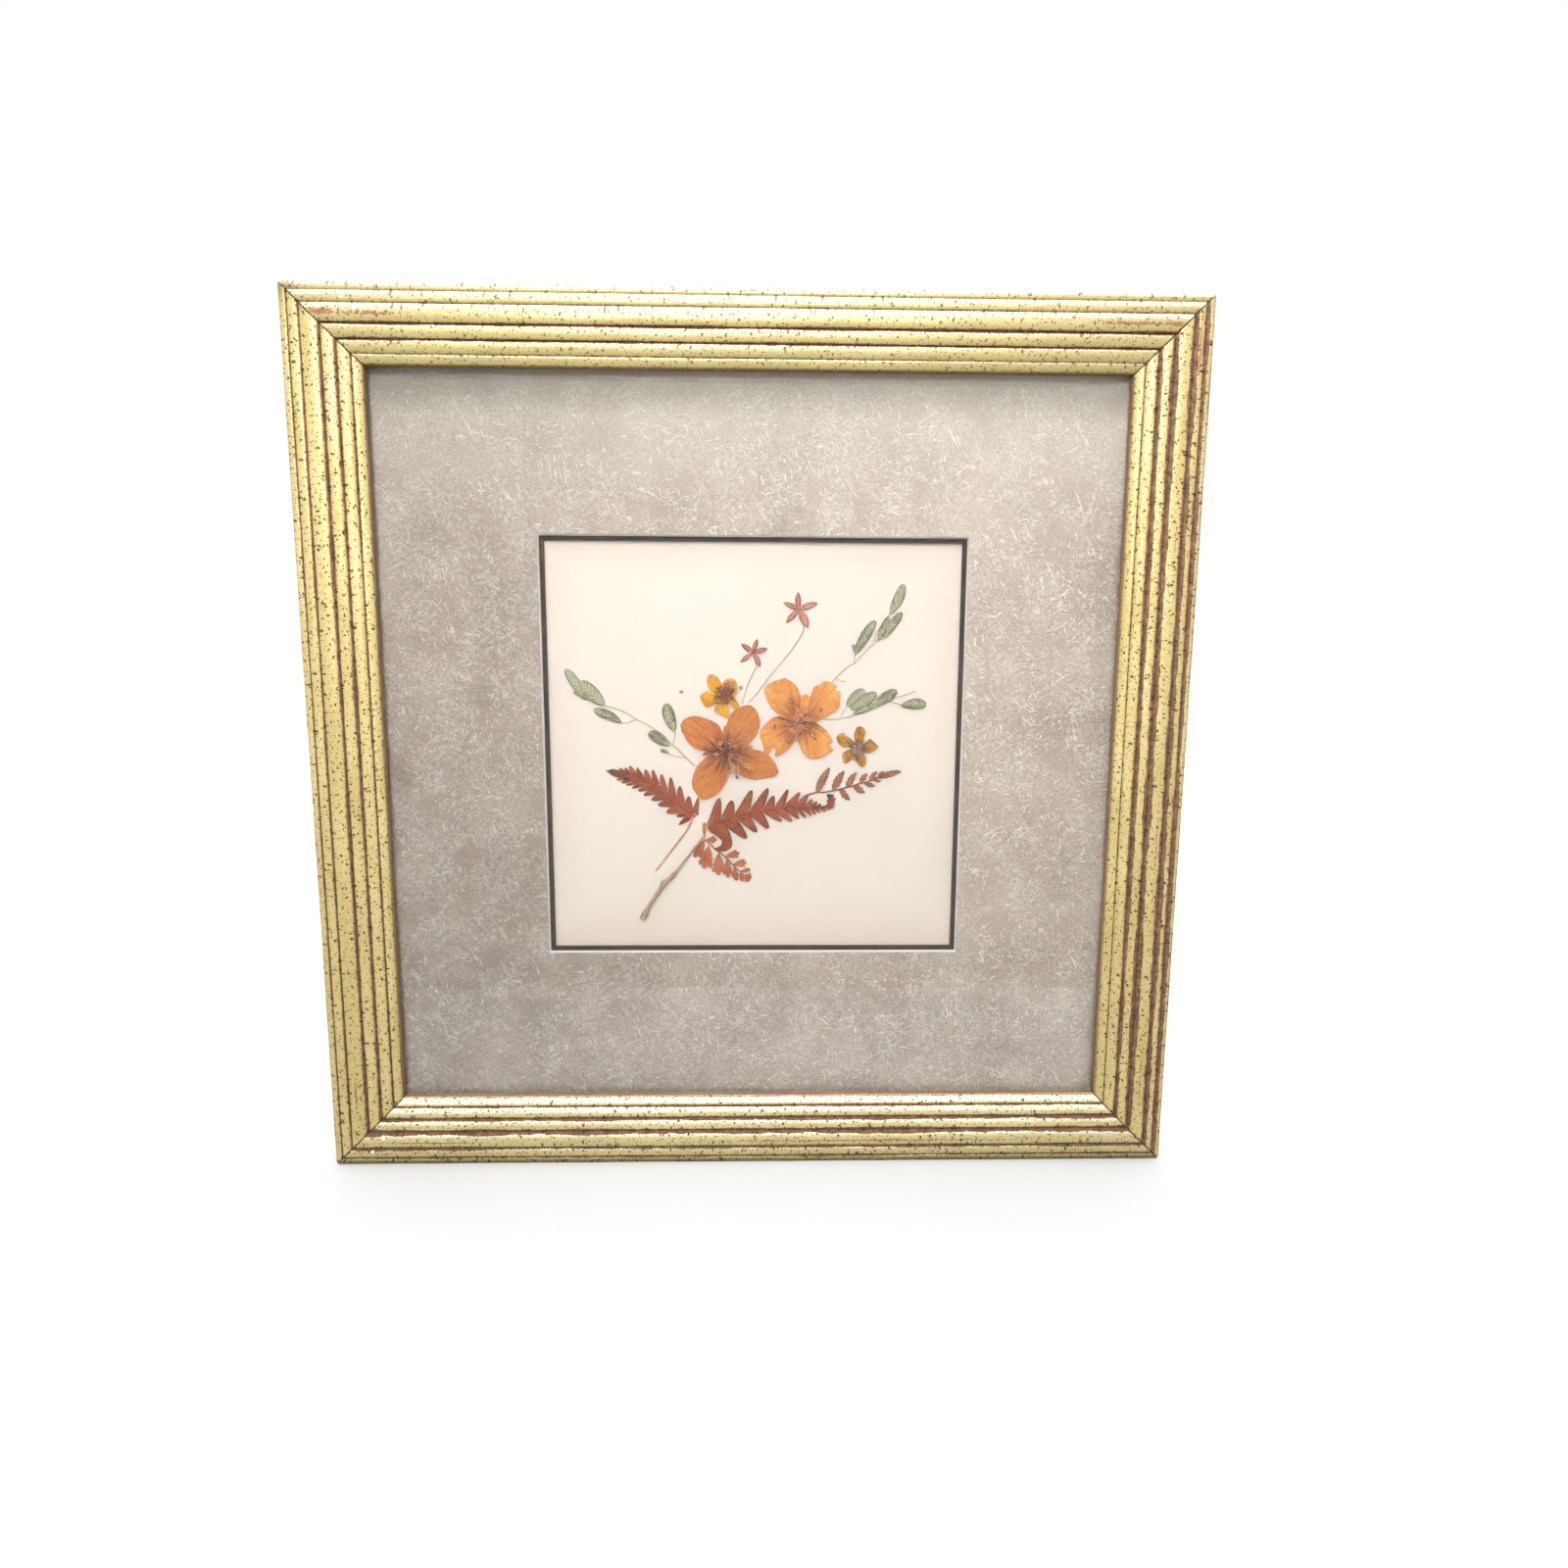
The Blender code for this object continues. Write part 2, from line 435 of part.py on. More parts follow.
def circle(radius, centre, steps=16):
    return [(centre[0] + radius * math.cos(math.tau * i / steps),
             centre[1] + radius * math.sin(math.tau * i / steps)) for i in range(steps)]


def round_pin(name, diameter, front, back, x, z, collection):
    """Make a cylinder along Y between two depths."""
    pin_mesh = bmesh.new()
    bmesh.ops.create_cone(pin_mesh, cap_ends=True, segments=16, radius1=diameter / 2,
                          radius2=diameter / 2, depth=back - front)
    mesh = bpy.data.meshes.new(name)
    pin_mesh.to_mesh(mesh)
    pin_mesh.free()
    pin = bpy.data.objects.new(name, mesh)
    pin.rotation_euler = (math.pi / 2, 0.0, 0.0)
    pin.location = (x, FRONT_Y + (front + back) / 2, z)
    collection.objects.link(pin)
    return pin


def build_back(parts, guides):
    """Make the dust cover, the saw-tooth hanger and its two nails."""
    paper_half = FRAME_SIDE / 2 - PAPER_MARGIN
    upright_sheet("dust_cover", [square(paper_half)], PAPER_FRONT, PAPER_THICK, parts,
                  "kraft_paper")
    holes = [circle(NAIL_HOLE / 2, (sign * NAIL_SPACING / 2, 0.0)) for sign in (-1, 1)]
    hanger = upright_sheet("hanger", [hanger_outline()] + holes, HANGER_FRONT, HANGER_THICK, parts,
                           "brass")
    hanger.location.z = FRAME_SIDE - HANGER_DROP
    for side, sign in (("left", -1), ("right", 1)):
        x = sign * NAIL_SPACING / 2
        nail = round_pin("hanger_nail_" + side, NAIL_HEAD, HEAD_FRONT, TOTAL_DEPTH, x,
                         FRAME_SIDE - HANGER_DROP, parts)
        shank = round_pin("nail_shank_" + side, NAIL_SHANK, HANGER_FRONT, HEAD_FRONT + GAP, x,
                          FRAME_SIDE - HANGER_DROP, guides)
        as_guide(shank)
        boolean(nail, "UNION", shank)
        nail.data.materials.append(finish("brass"))


def rounded(points, steps=3):
    """Return a closed Catmull-Rom curve through the points; a point given twice is a corner."""
    outline = []
    count = len(points)
    for i in range(count):
        before, here, there, after = (points[(i + k) % count] for k in (-1, 0, 1, 2))
        if here == there:
            continue
        for step in range(steps):
            t = step / steps
            outline.append(tuple(
                (2 * b + (c - a) * t + (2 * a - 5 * b + 4 * c - d) * t ** 2
                 + (3 * b - a - 3 * c + d) * t ** 3) / 2
                for a, b, c, d in zip(before, here, there, after)))
    return outline


def blade(base, tip, width, tip_taper=0.0, count=18, base_taper=0.1):
    """Return a leaf's outline: an ellipse whose half width shrinks towards base and tip."""
    length = math.dist(base, tip)
    along = ((tip[0] - base[0]) / length, (tip[1] - base[1]) / length)
    shares, halves = [], []
    for i in range(count):
        angle = 2 * math.pi * i / count
        share = (1 - math.cos(angle)) / 2
        taper = max(share, 0.0001) ** base_taper * max(1 - share, 0.0001) ** tip_taper
        shares.append(share)
        halves.append(math.sin(angle) * taper)
    scale = width / 2 / max(halves)
    return [(base[0] + along[0] * length * share - along[1] * half * scale,
             base[1] + along[1] * length * share + along[0] * half * scale)
            for share, half in zip(shares, halves)]


def ribbon(width, points):
    """Return the outline of a thin stem of even width that follows the points."""
    left, right = [], []
    for i, (x, y) in enumerate(points):
        start, end = points[max(i - 1, 0)], points[min(i + 1, len(points) - 1)]
        length = math.dist(start, end)
        side = (-(end[1] - start[1]) / length, (end[0] - start[0]) / length)
        left.append((x + side[0] * width / 2, y + side[1] * width / 2))
        right.append((x - side[0] * width / 2, y - side[1] * width / 2))
    return left + right[::-1]


def lobes(notches, tips, fullness=0.93):
    """Return one side of a lobed fern: a round-ended lobe between each two notches."""
    edge = []
    for first, last, tip in zip(notches, notches[1:], tips):
        root = ((first[0] + last[0]) / 2, (first[1] + last[1]) / 2)
        length = math.dist(root, tip)
        along = ((tip[0] - root[0]) / length, (tip[1] - root[1]) / length)
        across = (-along[1], along[0])
        half = fullness / 2 * ((last[0] - first[0]) * across[0] + (last[1] - first[1]) * across[1])
        edge.append(first)
        for reach, side in ((0.35, -1), (0.75, -0.85), (0.93, -0.5), (1, 0), (0.93, 0.5),
                            (0.75, 0.85), (0.35, 1)):
            edge.append((root[0] + along[0] * length * reach + across[0] * half * side,
                         root[1] + along[1] * length * reach + across[1] * half * side))
    edge.append(notches[-1])
    return edge


def pressed_plant(name, outlines, layer, material, parts, guides):
    """Make the leaves, petals and stems of one pressed plant, to be joined in one thin solid.

    Each leaf is a little thinner than the one before it, so no two faces coincide. Returns the
    first leaf and the collection of the others.
    """
    middle = CARD_FRONT - GAP - LEAF_THICK / 2 - layer * LAYER_STEP
    others = new_collection(name + "_leaves", guides)
    plant = None
    for i, outline in enumerate(outlines):
        thickness = LEAF_THICK - i * FAN_STEP
        metres = [(x * MM, y * MM) for x, y in outline]
        piece_name = name if i == 0 else "{}_leaf_{}".format(name, i)
        piece = upright_sheet(piece_name, [metres], middle - thickness / 2, thickness,
                              parts if i == 0 else others, material)
        if i == 0:
            plant = piece
        else:
            as_guide(piece)
    return plant, others


def build_flowers(parts, guides):
    """Make the four open flowers and the two star flowers with their stems."""
    plants = []
    for name, petals, layer, material in (
            ("flower_large_left", LARGE_LEFT_PETALS, 2, "orange_petal"),
            ("flower_large_right", LARGE_RIGHT_PETALS, 1, "amber_petal"),
            ("flower_small_upper", SMALL_UPPER_PETALS, 1, "yellow_petal"),
            ("flower_small_right", SMALL_RIGHT_PETALS, 1, "brown_petal")):
        outlines = [rounded(petal) for petal in petals]
        plants.append(pressed_plant(name, outlines, layer, material, parts, guides))
    for name, (centre, petals), stem in (
            ("star_flower_tall", TALL_STAR, TALL_STAR_STEM),
            ("star_flower_short", SHORT_STAR, SHORT_STAR_STEM)):
        outlines = []
        for tip, width in petals:
            overlap = 0.5 / math.dist(centre, tip)
            base = tuple(c - (t - c) * overlap for c, t in zip(centre, tip))
            outlines.append(blade(base, tip, width, tip_taper=0.45, count=12))
        outlines.append(ribbon(0.5, stem))
        plants.append(pressed_plant(name, outlines, 0, "pink_petal", parts, guides))
    return plants


def build_sprays(parts, guides):
    """Make the three grey-green leaf sprays."""
    plants = []
    for name, stems, leaves in (("leaf_spray_left", LEFT_STEMS, LEFT_LEAVES),
                                ("leaf_spray_upper", UPPER_STEMS, UPPER_LEAVES),
                                ("leaf_spray_right", RIGHT_STEMS, RIGHT_LEAVES)):
        outlines = [ribbon(*stem) for stem in stems]
        outlines += [blade(*leaf, count=16) for leaf in leaves]
        plants.append(pressed_plant(name, outlines, 0, "grey_leaf", parts, guides))
    return plants


def build_ferns(parts, guides):
    """Make the two lobed ferns, the fern with leaflets and the cut leaf."""
    left = lobes(*LEFT_FERN_UPPER) + list(LEFT_FERN_END) + lobes(*LEFT_FERN_LOWER)[::-1]
    left_outlines = [left, ribbon(*LEFT_FERN_STEM)]
    plants = [pressed_plant("fern_left", left_outlines, 0, "red_fern", parts, guides)]
    centre = (lobes(*CENTRE_FERN_UPPER) + list(CENTRE_FERN_END)
              + lobes(*CENTRE_FERN_LOWER)[::-1] + list(CENTRE_FERN_HOOK))
    centre_outlines = [centre, CENTRE_FERN_CURL]
    plants.append(pressed_plant("fern_centre", centre_outlines, 1, "red_fern", parts, guides))
    for name, stem, leaflets, material in (
            ("fern_right", RIGHT_FERN_STEM, RIGHT_FERN_LEAFLETS, "brown_fern"),
            ("cut_leaf", CUT_LEAF_STEM, CUT_LEAF_LEAFLETS, "rust_leaf")):
        outlines = [ribbon(*stem)] + [blade(*leaflet, count=14) for leaflet in leaflets]
        plants.append(pressed_plant(name, outlines, 0, material, parts, guides))
    return plants


def build_twig(parts):
    """Make the knotted twig, a thin round rod that lies over the cut leaf's stem."""
    curve = bpy.data.curves.new("twig", "CURVE")
    curve.dimensions = "3D"
    curve.bevel_depth = MM
    curve.bevel_resolution = 1
    curve.use_fill_caps = True
    spline = curve.splines.new("POLY")
    spline.points.add(len(TWIG) - 1)
    for point, ((x, y), radius) in zip(spline.points, TWIG):
        point.co = (x * MM, FRONT_Y + TWIG_DEPTH, CENTRE_Z + y * MM, 1.0)
        point.radius = radius
    twig = as_mesh(bpy.data.objects.new("twig", curve), "twig", parts)
    twig.data.materials.append(finish("twig_bark"))
    twig.data.shade_smooth()


def build_specks(parts):
    """Make the two loose seed specks that lie beside the flowers."""
    for name, (x, y) in LOOSE_SPECKS.items():
        outline = [(x * MM + SPECK_RADIUS * math.cos(math.tau * i / 8) * 1.3,
                    y * MM + SPECK_RADIUS * math.sin(math.tau * i / 8)) for i in range(8)]
        upright_sheet(name, [outline], CARD_FRONT - GAP - LEAF_THICK, LEAF_THICK, parts,
                      "twig_bark")


def main():
    for old in list(bpy.data.objects):
        bpy.data.objects.remove(old)
    scene_collection = bpy.context.scene.collection
    parts = new_collection("pressed_flower_frame", scene_collection)
    guides = new_collection("guides", scene_collection)
    build_rails(parts)
    plants = build_flowers(parts, guides) + build_sprays(parts, guides) + build_ferns(parts, guides)
    build_twig(parts)
    build_specks(parts)
    build_sheets(parts, guides)
    build_back(parts, guides)
    for plant, others in plants:
        boolean(plant, "UNION", others)


if __name__ == "__main__":
    main()
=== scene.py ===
"""Looks of the pressed flower frame: its reeded gilt moulding, the glass, the window mats, the
card with a pressed bouquet, and the closed back.

Sizes are in metres: +Z is up, the front faces -Y, and the origin is at the centre of the bottom.
The plants' outlines are in millimetres, to the right of and above the frame's centre.
"""
import math
from functools import reduce

import bpy
import numpy as np
from bpy.props import FloatProperty, FloatVectorProperty, PointerProperty
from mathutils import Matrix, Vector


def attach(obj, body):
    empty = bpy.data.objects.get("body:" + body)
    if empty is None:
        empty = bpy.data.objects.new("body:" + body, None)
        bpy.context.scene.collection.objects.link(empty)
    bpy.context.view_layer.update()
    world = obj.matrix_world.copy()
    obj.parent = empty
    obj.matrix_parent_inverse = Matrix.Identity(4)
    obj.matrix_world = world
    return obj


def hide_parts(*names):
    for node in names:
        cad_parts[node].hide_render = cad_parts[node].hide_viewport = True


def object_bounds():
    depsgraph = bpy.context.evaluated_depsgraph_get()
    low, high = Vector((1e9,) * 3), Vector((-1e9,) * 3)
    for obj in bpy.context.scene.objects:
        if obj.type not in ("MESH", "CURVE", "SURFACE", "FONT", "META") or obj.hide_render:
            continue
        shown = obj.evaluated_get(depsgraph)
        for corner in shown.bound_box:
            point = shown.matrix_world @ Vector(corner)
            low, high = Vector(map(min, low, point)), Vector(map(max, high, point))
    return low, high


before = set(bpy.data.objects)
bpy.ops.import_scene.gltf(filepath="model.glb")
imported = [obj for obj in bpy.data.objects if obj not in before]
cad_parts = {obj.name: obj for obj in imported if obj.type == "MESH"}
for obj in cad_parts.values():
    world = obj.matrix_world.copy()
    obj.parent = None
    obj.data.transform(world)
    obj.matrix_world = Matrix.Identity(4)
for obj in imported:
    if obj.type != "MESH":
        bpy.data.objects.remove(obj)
CAD_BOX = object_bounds()

bl_info = {
    "name": "Pressed flower frame",
    "version": (1, 0, 0),
    "blender": (4, 5, 0),
    "location": "3D View > Sidebar > Pressed Flowers",
    "description": "Dresses a gilt frame and its pressed bouquet",
    "category": "Object",
}

MM = 0.001
RAILS = ("rail_top", "rail_bottom", "rail_left", "rail_right")

# The moulding, measured across from its outer edge and in depth from its front
SIDE = CAD_BOX[1][0] - CAD_BOX[0][0]
CENTRE_Z = SIDE / 2
FRONT_Y = CAD_BOX[0][1]
RAIL_FACE = 0.024
RAIL_DEPTH = 0.019
REBATE = 0.0053
LIP_BACK = 0.0069
MITRE_GAP = 0.0002
GROOVES = (0.0, 0.0026, 0.0064, 0.0125, 0.0170, 0.0211, 0.0240)
GROOVE_DEPTHS = (0.0026, 0.0021, 0.0015, 0.0014, 0.0019, 0.0027, 0.0040)
REED_RISES = (0.0007, 0.0010, 0.00145, 0.0011, 0.0010, 0.0007)
# How many sections each rail has along its length
STATIONS = 361
# How far the clay shows on each side of the outer edge and of each groove, in millimetres
BARE_CLAY = {
    "rail_top": (0.0, 0.0, 0.12, 0.50, 0.42, 0.10, 0.10),
    "rail_bottom": (0.50, 0.42, 0.66, 1.02, 0.76, 0.36, 0.16),
    "rail_left": (0.14, 0.30, 0.42, 0.66, 0.54, 0.30, 0.14),
    "rail_right": (0.40, 1.00, 1.20, 1.20, 0.82, 0.14, 0.10),
}
# Broken dark lines along the reeds: distance from the outer edge in millimetres, and strength
CREST_DASHES = ((9.1, 0.27), (14.7, 0.16), (18.9, 0.12))
# Rubbed patches: rail, place along it and across it, length and width, in millimetres
RUBBED = (
    ("rail_top", -132.3, 9.4, 4.6, 1.10), ("rail_top", -118.0, 9.8, 12.0, 0.50),
    ("rail_top", 133.0, 9.9, 5.0, 0.70), ("rail_top", 120.0, 9.8, 14.0, 0.55),
    ("rail_left", -55.0, 9.1, 34.0, 0.25), ("rail_left", -119.0, 9.2, 8.0, 0.45),
    ("rail_right", -28.0, 9.0, 22.0, 0.28), ("rail_right", 70.0, 9.0, 7.0, 0.28),
    ("rail_right", -118.0, 9.2, 14.0, 0.35), ("rail_right", 128.0, 4.6, 9.0, 0.50),
    ("rail_bottom", 40.0, 8.8, 60.0, 0.25), ("rail_bottom", -112.0, 8.8, 20.0, 0.30),
)

# Chips that bare the white ground: place from the picture's middle and radius, in millimetres
CHIPS = ((-122.4, 138.3, 0.95), (-126.1, 141.0, 0.55), (-128.2, -135.1, 0.75),
         (-132.5, -140.6, 0.60))
# The floor's linear colour at the frame, darker there as a painted soft shadow, and far from it
FLOOR_NEAR = [0.63, 0.63, 0.645]
FLOOR_FAR = [0.93, 0.93, 0.94]

# How thick the petals and the leaves are, in metres
PETAL_THICKNESS = 0.00014
LEAF_THICKNESS = 0.00016
# How many points a petal's outline has
PETAL_POINTS = 132
# Where each layer of the bouquet lies along Y, in metres: less is nearer to the glass
CARD_FACE = 0.00165
SPRAY_STEM_LAYER = 0.00134
STEM_LAYER = 0.00128
SPRAY_LAYER = 0.00125
FERN_LAYER = 0.00122
STAR_LAYER = 0.00118
FLOWER_LAYER = 0.00085
LEFT_FLOWER_LAYER = 0.00040

# The open flowers' hubs. The upper flower's stamens grow a little off the hub of its petals.
LEFT_HUB = (-8.9, -0.4)
RIGHT_HUB = (16.9, 10.0)
SMALL_HUB = (36.4, 0.6)
UPPER_HUB = (-10.2, 18.0)
UPPER_STAMEN_HUB = (-9.6, 18.9)

# Petals. A point given twice is a corner; the rest of the outline is round.
LARGE_LEFT_PETALS = (
    ((-9.6, -0.1), (-9.4, 3.5), (-10.5, 7.2), (-13.3, 9.9), (-19.8, 11.7), (-23.8, 9.7),
     (-24.0, 6.6), (-21.4, 2.2), (-18.3, 0.3), (-13.6, -0.4)),
    ((-8.6, -1.6), (-8.8, 4.1), (-8.5, 9.4), (-6.2, 13.3), (-1.5, 15.4), (1.4, 13.6),
     (2.6, 10.4), (2.1, 6.7), (-0.3, 3.2), (-3.1, 1.0)),
    ((-9.2, -0.9), (-4.3, 0.5), (0.7, 0.3), (5.4, -1.5), (8.8, -6.2), (7.9, -8.6),
     (1.3, -9.9), (-3.1, -8.7), (-5.9, -4.7)),
    ((-8.0, 0.4), (-12.1, -0.6), (-15.5, -2.2), (-19.0, -5.9), (-20.6, -11.3), (-19.0, -15.3),
     (-16.9, -17.0), (-13.4, -16.1), (-9.6, -11.9), (-7.8, -6.9), (-7.4, -3.4)),
)
LARGE_RIGHT_PETALS = (
    ((17.6, 9.4), (16.9, 16.7), (15.5, 21.1), (13.2, 23.6), (10.6, 24.5), (6.8, 23.3),
     (4.3, 21.3), (4.6, 18.3), (6.4, 14.9), (9.0, 12.6), (12.4, 10.9)),
    ((16.4, 9.3), (19.4, 17.3), (20.2, 19.7), (20.9, 21.5), (23.0, 22.6), (24.3, 23.7),
     (27.3, 23.1), (28.6, 21.8), (28.3, 20.3), (28.3, 20.3), (29.9, 20.0), (30.0, 17.4),
     (29.5, 14.6), (26.1, 12.2), (23.1, 10.7), (20.1, 9.6)),
    ((16.2, 10.2), (20.1, 9.8), (23.4, 8.5), (26.0, 6.2), (27.5, 3.2), (26.7, 2.5),
     (25.5, 2.4), (25.5, 2.4), (27.1, 1.2), (27.6, -0.1), (24.6, -1.8), (21.3, -2.9),
     (18.7, -2.1), (16.6, 1.2), (15.5, 4.4)),
    ((17.6, 10.2), (12.8, 11.1), (9.0, 11.8), (6.0, 10.4), (3.4, 7.6), (2.7, 4.8),
     (3.9, 1.6), (4.1, -0.4), (5.5, -1.3), (6.7, 0.5), (7.3, 1.4), (7.3, 1.4), (8.1, 0.3),
     (8.0, -2.0), (10.1, -1.2), (12.9, 1.2), (14.8, 4.2), (16.1, 7.2)),
    ((16.2, 9.6), (16.5, 17.3), (18.0, 19.1), (19.6, 18.0), (19.0, 13.7), (18.0, 9.6)),
)
SMALL_UPPER_PETALS = (
    ((-10.8, 17.6), (-10.4, 22.4), (-11.7, 24.8), (-13.8, 25.8), (-15.3, 24.4),
     (-14.8, 21.3), (-12.6, 18.7)),
    ((-10.6, 17.5), (-12.9, 19.5), (-15.4, 20.0), (-17.6, 18.5), (-17.0, 16.4),
     (-15.6, 14.8), (-12.9, 15.8)),
    ((-10.6, 18.2), (-12.5, 15.0), (-12.8, 13.6), (-11.0, 12.4), (-8.4, 11.2), (-7.8, 12.5),
     (-7.8, 14.4), (-8.9, 17.2)),
    ((-8.9, 18.3), (-7.1, 18.0), (-5.7, 17.6), (-4.3, 15.0), (-4.9, 13.8), (-7.1, 15.2)),
    ((-12.2, 18.2), (-11.4, 20.9), (-9.5, 23.5), (-7.8, 24.5), (-5.8, 23.8), (-5.0, 21.8),
     (-5.5, 19.6), (-7.1, 17.6), (-9.9, 16.5), (-11.7, 16.8)),
)
SMALL_RIGHT_PETALS = (
    ((36.0, 0.2), (35.1, 3.7), (35.0, 5.7), (35.7, 7.8), (36.8, 8.3), (38.1, 7.8),
     (38.8, 6.1), (38.2, 4.2), (37.2, 0.4)),
    ((36.5, 0.9), (33.9, 3.9), (31.8, 5.2), (31.8, 5.2), (31.4, 6.1), (29.6, 5.5),
     (28.9, 4.5), (29.5, 2.7), (31.0, 1.3), (32.9, 1.6), (35.4, 0.0)),
    ((36.7, 0.8), (33.4, 0.5), (31.8, -0.3), (30.9, -1.6), (31.4, -4.0), (32.5, -4.4),
     (33.8, -3.5), (34.3, -2.5), (36.6, -0.4)),
    ((36.1, 0.9), (35.3, -1.9), (35.8, -3.6), (36.8, -5.0), (37.8, -5.7), (38.9, -5.0),
     (39.2, -3.8), (38.9, -2.1), (37.3, 0.6)),
    ((35.7, 0.3), (38.1, 2.6), (39.2, 3.3), (40.3, 4.2), (40.3, 4.2), (41.8, 3.0),
     (43.4, 1.3), (43.4, 1.3), (41.8, -0.1), (40.2, -0.7), (38.2, -0.4)),
)

# Star flowers: the centre, the petals' tips with their widths, and the stem
TALL_STAR = ((15.7, 47.5), (((15.4, 53.5), 1.8), ((10.3, 49.9), 1.5), ((22.0, 49.8), 1.9),
                            ((11.3, 43.0), 1.7), ((18.8, 41.4), 2.4)))
TALL_STAR_STEM = ((16.0, 47.0), (17.2, 43.2), (17.4, 41.6), (16.4, 38.8), (14.8, 36.3),
                  (12.4, 33.0), (8.5, 28.4), (5.2, 24.2), (1.9, 19.8), (-1.2, 16.4))
SHORT_STAR = ((0.4, 33.0), (((1.9, 37.8), 1.5), ((-3.8, 36.1), 1.6), ((5.3, 34.5), 1.6),
                            ((-4.1, 29.9), 1.4), ((2.8, 28.2), 1.7)))
SHORT_STAR_STEM = ((0.5, 32.6), (0.9, 30.8), (1.3, 28.3), (0.2, 26.1), (-1.6, 22.0), (-3.4, 15.9))

# Leaf sprays: stems as (width, points), leaves as (base, tip, width)
LEFT_STEMS = (
    (0.50, ((-50.5, 15.1), (-47.4, 14.5), (-43.7, 13.1), (-39.5, 10.7), (-35.2, 8.4),
            (-32.4, 6.5), (-27.5, 2.2), (-24.4, -0.7), (-19.8, -5.2))),
    (0.40, ((-44.9, 9.3), (-42.6, 9.3), (-39.3, 10.5))),
    (0.40, ((-26.6, 7.2), (-26.2, 5.0), (-27.3, 1.8))),
    (0.40, ((-28.9, -1.0), (-26.0, -2.2), (-22.8, -2.4))),
)
LEFT_LEAVES = (
    ((-56.2, 16.9), (-62.9, 27.3), 3.1), ((-50.0, 15.0), (-58.0, 23.2), 4.2),
    ((-44.4, 9.4), (-53.6, 13.7), 3.1), ((-26.4, 6.4), (-29.2, 15.8), 3.9),
    ((-28.2, 1.6), (-35.1, 6.0), 3.6), ((-28.3, -1.0), (-31.3, 0.0), 1.2),
    ((-53.6, 16.6), (-60.4, 19.7), 1.5),
)
UPPER_STEMS = (
    (0.45, ((26.9, 23.3), (29.1, 25.6), (32.4, 28.6), (34.7, 29.9), (36.7, 31.9), (38.9, 34.5),
            (40.9, 36.5), (42.1, 40.1), (43.7, 42.7), (46.5, 46.9))),
    (0.40, ((40.7, 36.3), (42.2, 37.2), (44.6, 38.3))),
    (0.40, ((34.6, 29.7), (34.9, 34.0))),
    (0.35, ((28.2, 24.5), (29.3, 24.4), (30.2, 23.7), (31.8, 23.6))),
)
UPPER_LEAVES = (
    ((34.7, 32.6), (41.5, 44.0), 3.3), ((44.3, 38.0), (50.4, 46.9), 2.8),
    ((42.6, 37.3), (46.0, 45.3), 2.3), ((46.4, 46.3), (50.8, 56.1), 3.3),
    ((34.9, 32.9), (33.8, 36.1), 1.2),
)
RIGHT_STEMS = (
    (0.45, ((23.4, 11.0), (27.7, 10.7), (33.7, 11.8), (40.0, 13.5), (43.6, 15.5), (46.6, 17.1),
            (51.2, 18.8), (55.8, 20.5))),
    (0.40, ((29.7, 11.2), (31.6, 14.1), (32.8, 16.5))),
    (0.45, ((45.9, 16.9), (48.2, 16.5), (51.6, 15.6))),
)
RIGHT_LEAVES = (
    ((32.1, 15.4), (38.3, 20.7), 4.3), ((33.6, 14.1), (42.4, 19.6), 3.8),
    ((34.3, 12.5), (42.3, 16.1), 2.0), ((41.6, 15.4), (49.3, 20.6), 3.6),
    ((50.9, 15.5), (59.4, 16.0), 3.5),
)

# Lobed ferns: the notches along each side from base to tip, and the lobes' tips between them
LEFT_FERN_UPPER = (
    ((-18.6, -22.3), (-20.6, -21.0), (-23.3, -18.3), (-26.2, -15.7), (-28.9, -14.3),
     (-31.7, -12.3), (-34.5, -10.2), (-37.1, -9.2), (-39.5, -7.9), (-42.1, -7.2),
     (-43.7, -7.1), (-45.6, -7.0)),
    ((-18.5, -16.5), (-21.7, -16.0), (-24.8, -12.4), (-27.9, -9.4), (-31.1, -8.3),
     (-34.0, -6.8), (-36.5, -6.7), (-39.4, -6.1), (-41.9, -5.5), (-43.5, -6.2), (-45.3, -6.3)),
)
LEFT_FERN_LOWER = (
    ((-20.6, -23.8), (-22.9, -22.8), (-25.3, -21.6), (-28.1, -19.5), (-30.3, -17.2),
     (-32.4, -15.0), (-35.2, -13.5), (-37.5, -12.3), (-39.6, -11.7), (-41.5, -10.9),
     (-43.6, -10.4), (-45.6, -9.5)),
    ((-25.3, -26.0), (-26.0, -23.0), (-29.5, -21.7), (-32.3, -19.2), (-34.6, -17.3),
     (-37.2, -15.6), (-39.0, -14.2), (-41.3, -13.3), (-43.2, -12.2), (-44.8, -11.4),
     (-46.4, -10.3)),
)
LEFT_FERN_END = (-49.9, -7.2)
LEFT_FERN_STEM = (0.65, ((-19.8, -22.0), (-22.2, -27.3), (-25.6, -32.1), (-29.7, -37.4),
                         (-33.4, -42.3)))
CENTRE_FERN_UPPER = (
    ((-15.5, -26.3), (-10.6, -23.9), (-5.7, -22.1), (-0.8, -21.2), (4.2, -19.9), (7.7, -19.9),
     (11.0, -19.4), (15.0, -18.9), (18.3, -18.9), (20.5, -19.1), (22.3, -19.2), (24.0, -19.3)),
    ((-11.2, -16.6), (-6.9, -17.4), (-0.1, -13.8), (5.5, -13.1), (7.5, -15.7), (12.4, -13.5),
     (16.5, -14.5), (19.2, -15.2), (20.9, -16.8), (22.4, -17.6), (23.8, -18.5)),
)
